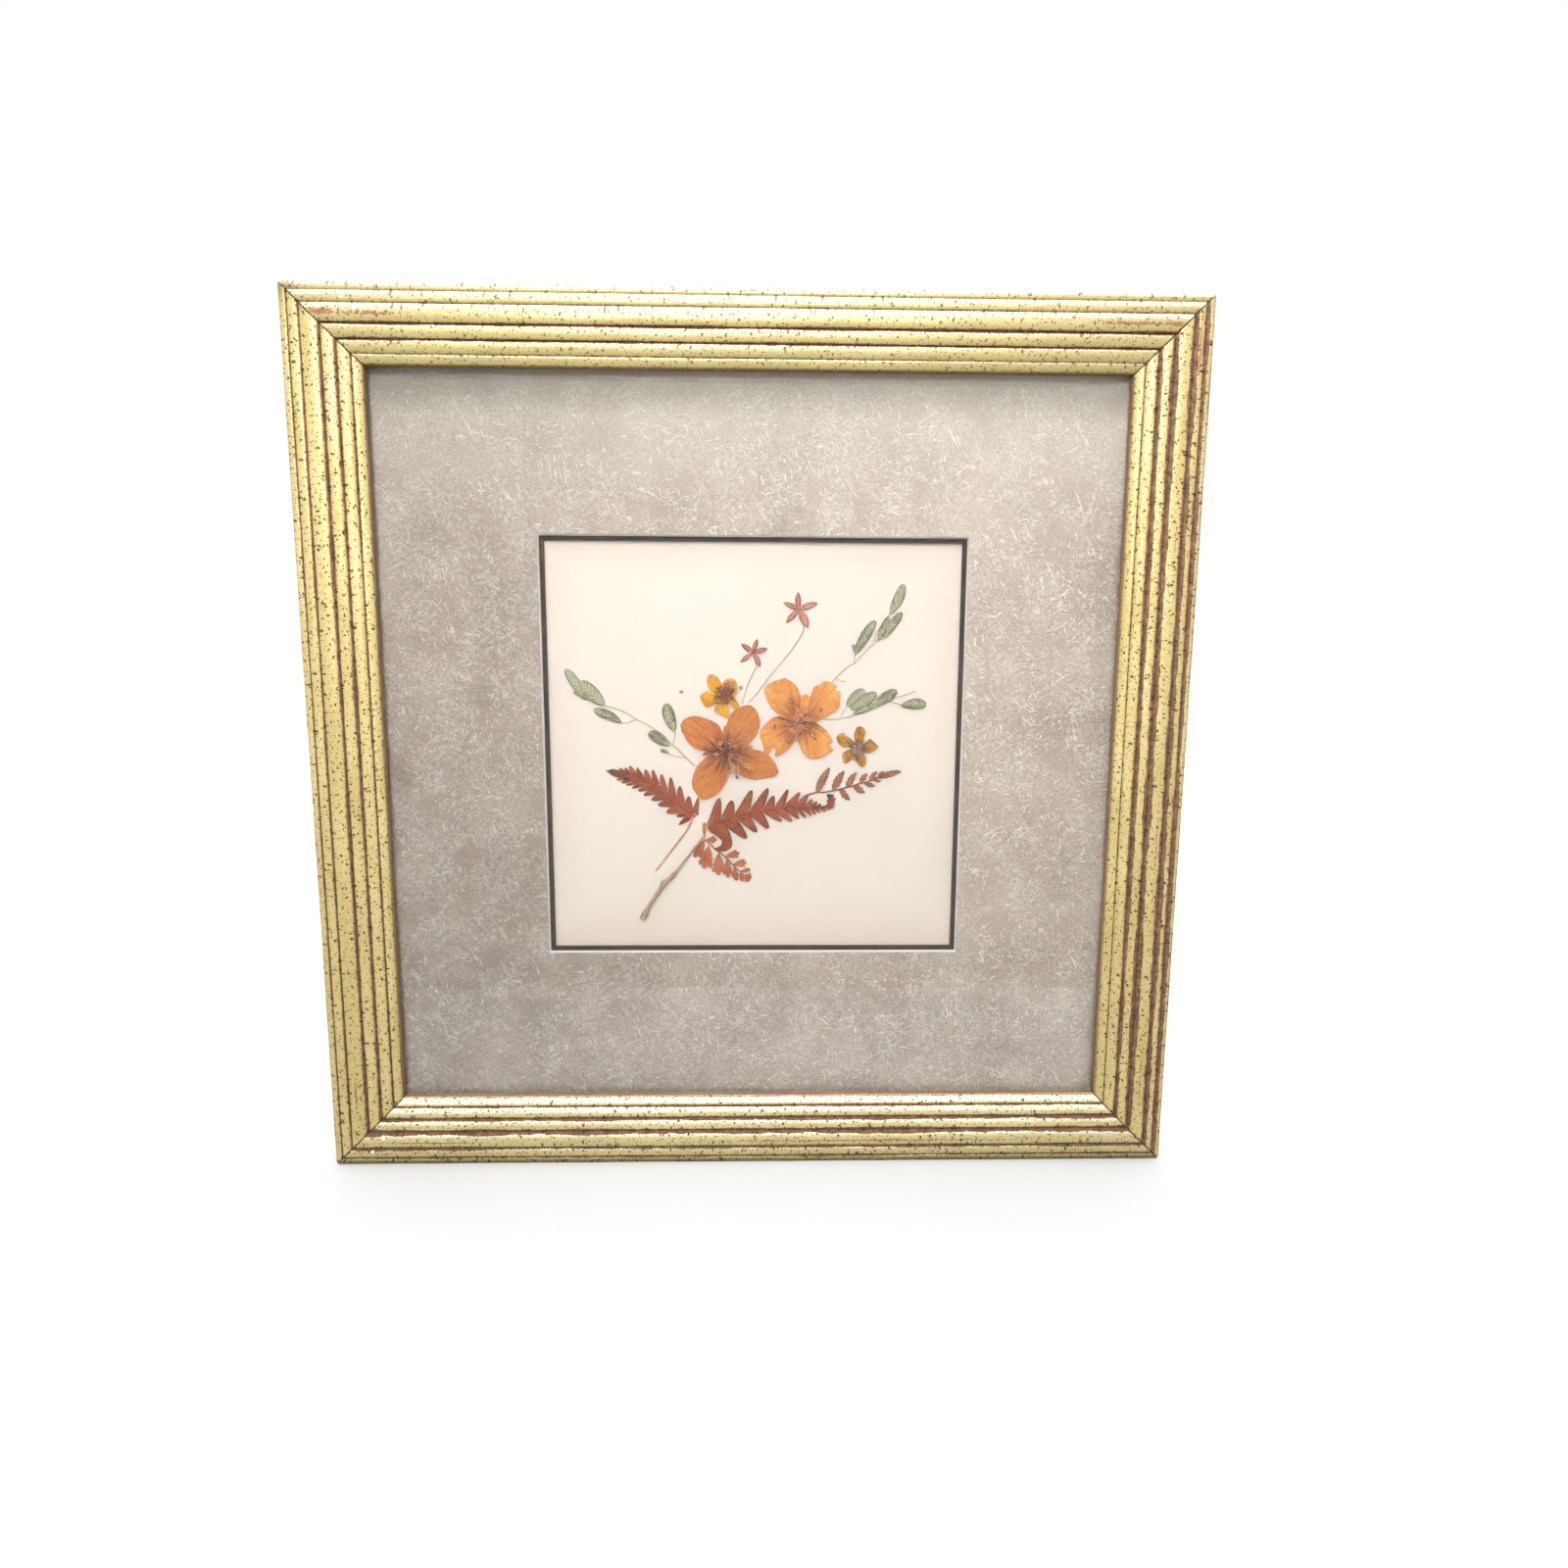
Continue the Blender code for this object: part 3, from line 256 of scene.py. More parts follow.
CENTRE_FERN_LOWER = (
    ((-10.6, -25.0), (-5.5, -23.2), (-0.8, -22.2), (3.9, -21.5), (7.7, -21.0), (11.4, -20.4),
     (14.6, -20.0), (17.1, -20.1), (19.2, -20.1), (21.3, -20.1), (23.3, -20.2), (25.4, -20.2)),
    ((-1.8, -30.7), (1.7, -28.5), (5.8, -27.2), (10.4, -24.8), (13.9, -24.7), (16.2, -23.8),
     (18.7, -23.6), (20.5, -22.8), (22.0, -22.3), (23.5, -21.7), (25.6, -21.2)),
)
CENTRE_FERN_END = (27.6, -19.9)
# The lowest lobe, which hooks back to the left, by its outer and its inner edge
CENTRE_FERN_HOOK = (
    ((-10.0, -24.4), (-8.0, -28.0), (-7.0, -31.0), (-7.0, -33.3), (-8.4, -34.9),
     (-11.1, -35.4), (-13.3, -34.6)),
    ((-15.6, -26.4), (-14.6, -28.2), (-12.2, -29.8), (-10.4, -31.6), (-10.8, -33.2),
     (-12.0, -33.9), (-13.3, -34.6)),
)
CENTRE_FERN_CURL = ((25.9, -20.3), (27.6, -20.1), (28.3, -19.2), (28.5, -17.4), (29.0, -16.5),
                    (28.1, -16.4), (28.1, -15.3), (26.0, -15.1), (25.7, -15.5), (26.4, -16.9),
                    (25.7, -17.4), (26.2, -18.1), (25.5, -19.0))

# Ferns with separate leaflets
RIGHT_FERN_STEM = (0.55, ((18.4, -15.8), (22.2, -14.6), (25.0, -14.5), (27.8, -13.9),
                          (30.4, -13.5), (32.6, -12.8), (34.7, -12.3), (37.6, -11.3),
                          (40.1, -10.8), (42.3, -9.9), (44.5, -8.9), (47.3, -8.0)))
RIGHT_FERN_LEAFLETS = (
    ((22.4, -14.6), (26.7, -5.9), 2.6), ((27.9, -14.0), (31.7, -7.0), 2.5),
    ((32.6, -12.9), (36.0, -7.5), 2.0), ((37.3, -11.5), (39.7, -7.8), 1.8),
    ((40.6, -10.7), (43.2, -7.1), 1.6), ((43.4, -9.6), (45.6, -7.1), 1.3),
    ((43.8, -9.4), (51.5, -7.2), 2.0), ((30.4, -13.3), (33.8, -17.3), 2.0),
    ((35.1, -12.1), (39.0, -14.7), 2.0), ((38.6, -11.0), (42.5, -12.3), 1.5),
    ((41.7, -10.0), (44.7, -10.5), 1.0),
)
CUT_LEAF_STEM = (0.55, ((-16.4, -31.1), (-12.6, -34.7), (-9.1, -37.5), (-6.3, -40.7),
                        (-3.5, -43.1), (-1.2, -45.0)))
CUT_LEAF_LEAFLETS = (
    ((-16.2, -31.0), (-20.1, -37.5), 3.6), ((-14.8, -32.9), (-16.5, -41.6), 4.1),
    ((-11.5, -35.4), (-11.7, -43.8), 3.6), ((-8.9, -37.9), (-8.1, -44.7), 2.9),
    ((-6.3, -40.8), (-5.3, -45.8), 2.2), ((-4.2, -42.7), (-3.1, -46.1), 1.7),
    ((-2.5, -43.9), (-0.9, -46.1), 2.1), ((-16.2, -31.4), (-12.2, -31.1), 2.1),
    ((-9.7, -37.4), (-4.3, -35.9), 2.4), ((-6.9, -40.2), (-1.9, -39.3), 2.4),
    ((-4.4, -42.6), (-0.5, -41.8), 1.5), ((-2.7, -44.0), (0.0, -44.3), 1.7),
    ((-16.5, -31.4), (-16.4, -25.2), 1.3),
)

# The twig: its points from the cut end up, each with the radius there
TWIG = (((-38.4, -59.3), 1.05), ((-37.4, -57.6), 1.15), ((-36.6, -56.0), 0.85),
        ((-35.5, -54.2), 0.75), ((-32.5, -49.8), 0.75), ((-31.3, -47.9), 0.8),
        ((-30.7, -46.6), 1.2), ((-29.9, -45.9), 0.85), ((-28.5, -44.9), 0.7),
        ((-27.5, -43.9), 1.0), ((-26.6, -42.9), 0.75), ((-25.6, -41.7), 0.45),
        ((-22.7, -37.9), 0.4), ((-18.2, -32.1), 0.38), ((-16.5, -30.0), 0.36))
LOOSE_SPECKS = {"loose_speck_left": (-24.0, 19.9), "loose_speck_upper": (-3.9, 21.4)}

# Stamens: where the anthers of each open flower lie
LEFT_ANTHERS = ((-7.3, 3.0), (-4.0, -2.3), (-1.8, -5.0), (-0.4, -6.2), (-7.4, -2.1),
                (-13.6, 3.5), (-1.5, 4.8), (-12.2, -1.2), (-5.6, 1.4), (-10.8, 2.6))
RIGHT_ANTHERS = ((15.6, 13.9), (15.8, 12.0), (13.7, 11.1), (11.1, 9.6), (18.8, 11.1),
                 (20.8, 10.7), (20.4, 7.0), (20.8, 4.9), (13.2, 17.3), (12.4, 15.6),
                 (12.0, 4.4), (14.6, 6.4), (15.7, 5.5), (12.9, 7.2), (18.2, 13.6), (16.6, 6.6))
UPPER_ANTHERS = ((-11.6, 17.2), (-10.6, 16.4), (-9.0, 16.8), (-8.2, 18.0), (-7.4, 19.7),
                 (-6.7, 21.3), (-6.6, 22.9), (-7.8, 23.3), (-9.1, 22.2), (-10.1, 20.9),
                 (-11.2, 19.2), (-9.8, 18.6), (-8.5, 20.6), (-7.7, 21.9))
SMALL_ANTHERS = ((35.2, 1.8), (37.4, 1.9), (35.0, -0.4), (37.6, -0.6), (36.4, 2.4), (36.2, -1.2))

# Threads that lie apart from the rest, each with its finish, its radius and its points
LEFT_THREADS = (
    (1, 0.26, ((-7.7, -2.6), (-7.6, -4.2), (-7.1, -5.4), (-6.2, -6.4))),
    (1, 0.22, ((-7.2, -4.6), (-6.2, -5.6), (-6.9, -7.0), (-7.3, -8.0))),
    (1, 0.30, ((-6.8, -5.6), (-5.6, -6.0), (-5.4, -7.2), (-6.3, -7.6))),
    (0, 0.24, ((-5.8, -5.2), (-4.4, -6.6), (-3.8, -7.2), (-4.2, -8.4))),
    (0, 0.20, ((-5.0, -4.6), (-4.6, -6.8), (-5.4, -8.2), (-5.6, -8.8))),
    (2, 0.34, ((-5.4, -8.8), (-5.1, -9.2), (-4.9, -9.5))),
    (1, 0.18, (LEFT_HUB, (-5.5, -3.0), (-3.4, -3.6), (-1.8, -5.0))),
    (2, 0.16, (LEFT_HUB, (-12.4, 1.2), (-14.0, 3.2), (-15.6, 4.4))),
    (2, 0.16, (LEFT_HUB, (-12.6, -0.2), (-15.0, 0.1), (-16.4, 0.9))),
    (2, 0.15, (LEFT_HUB, (-10.6, -3.2), (-11.6, -5.6), (-12.2, -7.0))),
    (2, 0.15, (LEFT_HUB, (-9.6, -3.6), (-9.9, -5.6), (-10.6, -7.6))),
    (2, 0.14, (LEFT_HUB, (-3.4, -0.6), (-1.4, -1.2), (-0.4, -3.0))),
)
RIGHT_THREADS = (
    (0, 0.30, ((15.8, 8.6), (14.8, 6.8), (13.6, 5.0), (12.8, 3.6))),
    (0, 0.26, ((16.2, 8.4), (15.6, 6.6), (14.8, 4.8), (14.3, 3.6))),
    (0, 0.24, ((15.2, 8.9), (13.6, 7.4), (12.4, 5.8), (11.6, 4.6))),
    (0, 0.24, ((15.0, 9.6), (12.8, 8.9), (11.2, 9.0), (9.8, 8.6))),
    (2, 0.20, ((15.4, 10.2), (12.8, 10.2), (10.6, 10.8), (8.8, 11.6))),
    (2, 0.22, ((7.8, 8.9), (7.7, 8.2), (7.3, 7.5))),
    (2, 0.22, ((23.6, 14.6), (23.5, 13.9), (23.7, 13.3))),
    (2, 0.20, ((12.4, 4.6), (12.8, 4.9), (13.2, 4.7))),
    (2, 0.20, ((12.0, 2.9), (12.6, 2.7), (13.2, 2.9))),
    (2, 0.18, ((18.0, 8.8), (20.2, 7.4), (21.4, 5.4), (21.8, 3.6))),
    (0, 0.22, ((18.2, 10.0), (20.2, 10.6), (21.6, 9.8), (22.2, 8.8))),
)
# Five threads side by side; each point is given with its step to the right and down
UPPER_THREADS = tuple(
    (2, 0.30, tuple((x + right * i, y - down * i) for x, y, right, down in (
        (-11.4, 17.0, 0.60, 0.25), (-10.4, 19.4, 0.65, 0.30), (-8.9, 21.8, 0.60, 0.40),
        (-8.4, 22.8, 0.60, 0.50))))
    for i in range(5))
# Torn slivers of petal, each with its ends, width and bow
LEFT_SLIVERS = (
    ((-8.2, 2.4), (-9.1, 8.6), 1.3, 0.3), ((-12.0, -0.6), (-17.0, -1.7), 1.2, -0.5),
    ((-5.6, 0.5), (0.4, 1.1), 1.0, 0.3), ((-8.6, 1.8), (-7.4, 7.2), 1.0, -0.3),
)


# ---- Numbers

def tint(red, green, blue):
    """Return a screen colour in 0..255 as the linear colour that a shader takes."""
    share = np.array([red, green, blue]) / 255
    linear = np.where(share <= 0.04045, share / 12.92, ((share + 0.055) / 1.055) ** 2.4)
    return (*[float(value) for value in linear], 1.0)


def shown(color):
    """Return what a shader takes for a screen colour, or pass on a setting or a node's colour."""
    if isinstance(color, tuple):
        return tint(*color)
    return color if isinstance(color, bpy.types.NodeSocket) else (*color, 1.0)


def unevenness(x, y, seed=0):
    """Return smooth noise in -1..1.

    Each whole-number corner has a random value, the fraction of a sine, and a smoothstep blends
    the four corners around a point.
    """
    def corner(i, j):
        value = np.sin(i * 127.1 + j * 311.7 + seed * 74.7) * 43758.5453
        return value - np.floor(value)

    i, j = np.floor(x), np.floor(y)
    a, b = x - i, y - j
    a, b = a * a * (3 - 2 * a), b * b * (3 - 2 * b)
    lower = corner(i, j) * (1 - a) + corner(i + 1, j) * a
    upper = corner(i, j + 1) * (1 - a) + corner(i + 1, j + 1) * a
    return 2 * (lower * (1 - b) + upper * b) - 1


def wander(count, step, row, seed):
    """Return smooth noise in -1..1 at count places along a line."""
    return unevenness(np.arange(count) / step, np.full(count, float(row)), seed)


def smooth(value, start, end):
    """Return 0 at start, 1 at end and a smoothstep between."""
    share = np.clip((value - start) / (end - start), 0, 1)
    return share * share * (3 - 2 * share)


def catmull(before, here, there, after, t):
    """Return the Catmull-Rom blend of four points at t in 0..1."""
    return (2 * here + (there - before) * t
            + (2 * before - 5 * here + 4 * there - after) * t ** 2
            + (3 * here - before - 3 * there + after) * t ** 3) / 2


def evenly(points, count):
    """Return count points spaced evenly along a line of points."""
    steps = np.linalg.norm(np.diff(points, axis=0), axis=1)
    along = np.concatenate(([0], np.cumsum(steps)))
    wanted = np.linspace(0, along[-1], count)
    return np.stack([np.interp(wanted, along, column) for column in points.T], 1)


def smooth_path(points, count):
    """Return count even points along the Catmull-Rom curve through an open line of points."""
    points = np.array(points, float)
    ends = np.vstack([2 * points[0] - points[1], points, 2 * points[-1] - points[-2]])
    place = np.linspace(0, len(points) - 1, 12 * len(points))
    index = np.minimum(place.astype(int), len(points) - 2)
    t = (place - index)[:, None]
    fine = catmull(ends[index], ends[index + 1], ends[index + 2], ends[index + 3], t)
    return evenly(fine, count)


def smooth_loop(points, count):
    """Return count even points around the closed Catmull-Rom curve; a point given twice is a
    corner."""
    points = np.array(points, float)
    index = np.repeat(np.arange(len(points)), 10)
    t = np.tile(np.arange(10) / 10, len(points))[:, None]
    before, here, there, after = (np.roll(points, -k, axis=0)[index] for k in (-1, 0, 1, 2))
    kept = np.any(here != there, axis=1)
    fine = catmull(before, here, there, after, t)[kept]
    return evenly(np.vstack([fine, fine[:1]]), count + 1)[:-1]


# ---- Meshes

def grid_faces(rows, columns, wrap):
    """Return the quads of a grid of points counted row by row; wrap joins the last column to the
    first."""
    last = columns if wrap else columns - 1
    row, column = np.meshgrid(np.arange(rows - 1), np.arange(last), indexing="ij")
    here = (row * columns + column).ravel()
    beside = (row * columns + (column + 1) % columns).ravel()
    return np.stack([here, beside, beside + columns, here + columns], 1)


def fan_faces(ring, pole):
    """Return the triangles from a ring of point numbers to a pole."""
    return np.stack([ring, np.roll(ring, -1), np.full(len(ring), pole)], 1)


def store(mesh, name, values):
    """Give each point of a mesh a number or a vector."""
    kind, field = ("FLOAT", "value") if values.ndim == 1 else ("FLOAT_VECTOR", "vector")
    attribute = mesh.attributes.new(name, kind, "POINT")
    attribute.data.foreach_set(field, values.astype(np.float32).ravel())


class Shells:
    """Closed surfaces gathered in one mesh, each point with a pattern place and a tone."""

    def __init__(self):
        self.points = []
        self.faces = []
        self.finishes = []
        self.patterns = []
        self.tones = []
        self.count = 0

    def add(self, points, faces, pattern, tone=0.5, finish=0):
        """Add one closed surface, turned so that its volume is positive."""
        volume = 0.0
        for group in faces:
            corners = points[group]
            for k in range(1, group.shape[1] - 1):
                volume += np.einsum("ij,ij->", corners[:, 0],
                                    np.cross(corners[:, k], corners[:, k + 1]))
        for group in faces:
            self.faces.append((group if volume > 0 else group[:, ::-1]) + self.count)
            self.finishes.append(np.full(len(group), finish))
        self.points.append(points)
        self.patterns.append(pattern)
        self.tones.append(np.full(len(points), tone))
        self.count += len(points)

    def piece(self, name, materials, nodes, slot):
        """Make the object, put it in for its CAD nodes and let it ride on the frame."""
        mesh = bpy.data.meshes.new(name)
        points = np.concatenate(self.points).astype(np.float32)
        corners = np.concatenate([group.ravel() for group in self.faces])
        sizes = np.concatenate([np.full(len(g), g.shape[1]) for g in self.faces])
        mesh.vertices.add(len(points))
        mesh.vertices.foreach_set("co", points.ravel())
        mesh.loops.add(len(corners))
        mesh.loops.foreach_set("vertex_index", corners.astype(np.int32))
        mesh.polygons.add(len(sizes))
        starts = np.concatenate(([0], np.cumsum(sizes)[:-1])).astype(np.int32)
        mesh.polygons.foreach_set("loop_start", starts)
        mesh.polygons.foreach_set("material_index", np.concatenate(self.finishes).astype(np.int32))
        mesh.update(calc_edges=True)
        store(mesh, "pattern", np.concatenate(self.patterns))
        store(mesh, "tone", np.concatenate(self.tones))
        for material in materials:
            mesh.materials.append(material)
        mesh.shade_smooth()
        piece = bpy.data.objects.new(name, mesh)
        bpy.context.scene.collection.objects.link(piece)
        if nodes:
            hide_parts(*nodes)
        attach(piece, "root")
        return piece


def placed(flat, depth):
    """Return points in the frame's own metres from millimetres and a depth along Y in metres."""
    return np.stack([flat[..., 0] * MM, np.broadcast_to(depth, flat.shape[:-1]),
                     CENTRE_Z + flat[..., 1] * MM], -1)


def disc(outline, hub, depth, thickness, relief, rings=14):
    """Return a thin closed blade and its pattern.

    Point (r, t) lies at the share r of the way from the middle of the outline to its point t, and
    the rings gather towards the edge as 1 - (1 - k)^2. The half thickness is sqrt(1 - r^6), so
    the edge is round. The pattern is the distance from the hub as a share of the longest, the
    angle around the hub, and r.
    """
    middle = outline.mean(0)
    reach = 1 - (1 - np.arange(1, rings + 1) / rings) ** 2
    flat = middle + reach[:, None, None] * (outline[None] - middle)
    count = len(outline)
    ring_share = np.repeat(reach, count)
    flat = flat.reshape(-1, 2)
    flat = np.vstack([flat, middle])
    ring_share = np.append(ring_share, 0.0)
    spoke = flat - hub
    axis = middle - hub
    length = np.linalg.norm(outline - hub, axis=1).max()
    distance = np.linalg.norm(spoke, axis=1) / length
    turn = np.arctan2(axis[0] * spoke[:, 1] - axis[1] * spoke[:, 0], spoke @ axis)
    pattern = np.stack([distance, turn, ring_share], 1)
    half = thickness / 2 * np.sqrt(1 - ring_share ** 6)
    level = depth - relief(flat, distance, turn, ring_share) * MM
    front = placed(flat, level - half)
    back = placed(flat, level + half)
    edge = (rings - 1) * count
    front_pole = rings * count
    back_start = front_pole + 1
    points = np.vstack([front, back[:edge], back[-1:]])
    pattern = np.vstack([pattern, pattern[:edge], pattern[-1:]])
    back_pole = len(points) - 1
    ring = np.arange(count)
    front_faces = grid_faces(rings, count, True)
    back_faces = grid_faces(rings - 1, count, True)[:, ::-1] + back_start
    seam = np.stack([ring + edge, np.roll(ring, -1) + edge,
                     np.roll(ring, -1) + back_start + edge - count,
                     ring + back_start + edge - count], 1)
    quads = np.vstack([front_faces, back_faces, seam])
    fans = np.vstack([fan_faces(ring, front_pole)[:, ::-1],
                      fan_faces(ring + back_start, back_pole)])
    return points, [quads, fans], pattern


def band(left, right, depth, thickness, relief, sides):
    """Return a thin closed blade between two edges that meet at both ends, and its pattern.

    Its section at the share u of the way along is a flattened ring: across = cos(angle), and
    lift = sin(angle) with its square root taken, so the faces are nearly flat. The pattern is u,
    across, and the share of the way to the edge.
    """
    middle, half = (left + right) / 2, (left - right) / 2
    angle = 2 * np.pi * np.arange(sides) / sides
    across = np.cos(angle)
    lift = np.sign(np.sin(angle)) * np.sqrt(np.abs(np.sin(angle)))
    rows = len(left) - 2
    u = np.repeat(np.linspace(0, 1, rows + 2)[1:-1], sides)
    v = np.tile(across, rows)
    flat = (middle[1:-1, None] + half[1:-1, None] * across[None, :, None]).reshape(-1, 2)
    body = depth - (relief(flat, u, v) * MM + np.tile(lift, rows) * thickness / 2)
    ends = middle[[0, -1]]
    end_depth = depth - relief(ends, np.array([0.0, 1.0]), np.zeros(2)) * MM
    points = np.vstack([placed(flat, body), placed(ends, end_depth)])
    u, v = np.append(u, (0, 1)), np.append(v, (0, 0))
    return points, tube_faces(rows, sides), np.stack([u, v, np.abs(v)], 1)


def tube_faces(rows, sides):
    """Return the faces of a tube of rings, closed by the two poles that follow the rings."""
    ring = np.arange(sides)
    poles = rows * sides
    fans = np.vstack([fan_faces(ring, poles)[:, ::-1],
                      fan_faces(ring + (rows - 1) * sides, poles + 1)])
    return [grid_faces(rows, sides, True), fans]


def strand(path, radius, sides=8, flatness=1.0):
    """Return a closed round or flattened tube along points in metres, and its pattern.

    A ring stands across the path at each point: one axis lies in the card's plane, the other is
    square to it and to the path and is shrunk by the flatness.
    """
    path = np.array(path, float)
    radius = np.broadcast_to(radius, len(path))
    run = np.gradient(path, axis=0)
    run /= np.linalg.norm(run, axis=1)[:, None]
    sideways = np.cross(run, (0.0, 1.0, 0.0))
    sideways /= np.linalg.norm(sideways, axis=1)[:, None]
    outward = np.cross(sideways, run)
    angle = 2 * np.pi * np.arange(sides) / sides
    rings = (path[:, None]
             + radius[:, None, None] * (np.cos(angle)[None, :, None] * sideways[:, None]
                                        + flatness * np.sin(angle)[None, :, None]
                                        * outward[:, None]))
    ends = np.stack([path[0] - run[0] * radius[0] * 0.6, path[-1] + run[-1] * radius[-1] * 0.6])
    points = np.vstack([rings.reshape(-1, 3), ends])
    steps = np.linalg.norm(np.diff(path, axis=0), axis=1)
    along = np.concatenate(([0], np.cumsum(steps)))
    u = np.append(np.repeat(along, sides), (0, along[-1])) / MM
    v = np.append(np.tile(np.cos(angle), len(path)), (0, 0))
    return points, tube_faces(len(path), sides), np.stack([u, v, np.abs(v)], 1)


# ---- Materials

class Recipe:
    """One procedural material, or the surroundings: most methods add a node and return what
    comes out of it. coated is the material's colour so far."""

    def __init__(self, owner, sockets, shader="Principled BSDF"):
        if isinstance(owner, str):
            owner = bpy.data.materials.new(owner)
        owner.use_nodes = True
        self.owner = owner
        self.nodes, self.links = owner.node_tree.nodes, owner.node_tree.links
        self.shader = self.nodes[shader]
        self.coated = None
        for socket, value in sockets.items():
            self.feed(self.shader, socket, value)

    def feed(self, node, socket, value):
        if isinstance(value, bpy.types.NodeSocket):
            self.links.new(value, node.inputs[socket])
        else:
            node.inputs[socket].default_value = value

    def add(self, kind, sockets, **settings):
        node = self.nodes.new("ShaderNode" + kind)
        for setting, value in settings.items():
            setattr(node, setting, value)
        for socket, value in sockets.items():
            self.feed(node, socket, value)
        return node

    def place(self):
        return self.add("TexCoord", {}).outputs["Object"]

    def stored(self, name, output="Vector"):
        return self.add("Attribute", {}, attribute_name=name).outputs[output]

    def split(self, vector):
        return self.add("SeparateXYZ", {"Vector": vector}).outputs

    def joined(self, x, y, z=0.0):
        return self.add("CombineXYZ", {"X": x, "Y": y, "Z": z}).outputs[0]

    def moved(self, vector, scale=(1, 1, 1), location=(0, 0, 0), turn=(0, 0, 0)):
        sockets = {"Vector": vector, "Scale": scale, "Location": location, "Rotation": turn}
        return self.add("Mapping", sockets).outputs[0]

    def noise(self, vector, scale, detail=3.0, roughness=0.5, distortion=0.0):
        sockets = {"Vector": vector, "Scale": scale, "Detail": detail, "Roughness": roughness,
                   "Distortion": distortion}
        return self.add("TexNoise", sockets).outputs[0]

    def spots(self, vector, scale, present, smallest, largest, ragged=0.0):
        """Return 1 inside round spots of random size, one in each flat cell that has one.

        present is the share of cells with a spot; the sizes are radii as shares of a cell.
        """
        sockets = {"Vector": vector, "Scale": scale}
        cells = self.add("TexVoronoi", sockets, voronoi_dimensions="2D").outputs
        chance = self.split(cells["Color"])[0]
        radius = self.fade(chance, 1 - present, 1.0, smallest, largest)
        gap = self.calc("SUBTRACT", self.plus(cells["Distance"], ragged), radius)
        return self.times(self.fade(gap, 0.02, -0.03),
                          self.calc("GREATER_THAN", chance, 1 - present))

    def ramp(self, factor, *stops):
        """Return a colour between stops, each (place, colour)."""
        node = self.add("ValToRGB", {"Fac": factor})
        elements = node.color_ramp.elements
        while len(elements) < len(stops):
            elements.new(0.5)
        for element, (place, color) in zip(elements, stops):
            element.position = place
            element.color = shown(color)
        return node.outputs["Color"]

    def blend(self, factor, first, second, mode="MIX"):
        sockets = {0: factor, 6: shown(first), 7: shown(second)}
        return self.add("Mix", sockets, data_type="RGBA", blend_type=mode).outputs[2]

    def coat(self, share, color, mode="MIX"):
        """Lay a colour over the material's colour so far."""
        self.coated = self.blend(share, self.coated, color, mode)

    def calc(self, operation, *values):
        return self.add("Math", dict(enumerate(values)), operation=operation).outputs[0]

    def times(self, first, *more):
        return reduce(lambda a, b: self.calc("MULTIPLY", a, b), more, first)

    def most(self, first, *more):
        return reduce(lambda a, b: self.calc("MAXIMUM", a, b), more, first)

    def plus(self, first, second):
        return self.calc("ADD", first, second)

    def centred(self, noise, width):
        """Return noise in 0..1 spread over the width around 0."""
        return self.calc("MULTIPLY_ADD", noise, width, -width / 2)

    def fade(self, value, start, end, low=0.0, high=1.0):
        """Return low where value is at start, high at end, and a smoothstep between."""
        sockets = {"Value": value, "From Min": start, "From Max": end, "To Min": low,
                   "To Max": high}
        return self.add("MapRange", sockets, interpolation_type="SMOOTHSTEP").outputs[0]

    def distance(self, vector, point):
        return self.add("VectorMath", {0: vector, 1: point}, operation="DISTANCE").outputs["Value"]

    def bump(self, height, distance, strength=1.0):
        sockets = {"Height": height, "Distance": distance, "Strength": strength}
        self.feed(self.shader, "Normal", self.add("Bump", sockets).outputs[0])

    def finished(self):
        self.feed(self.shader, "Base Color", self.coated)
        return self.owner


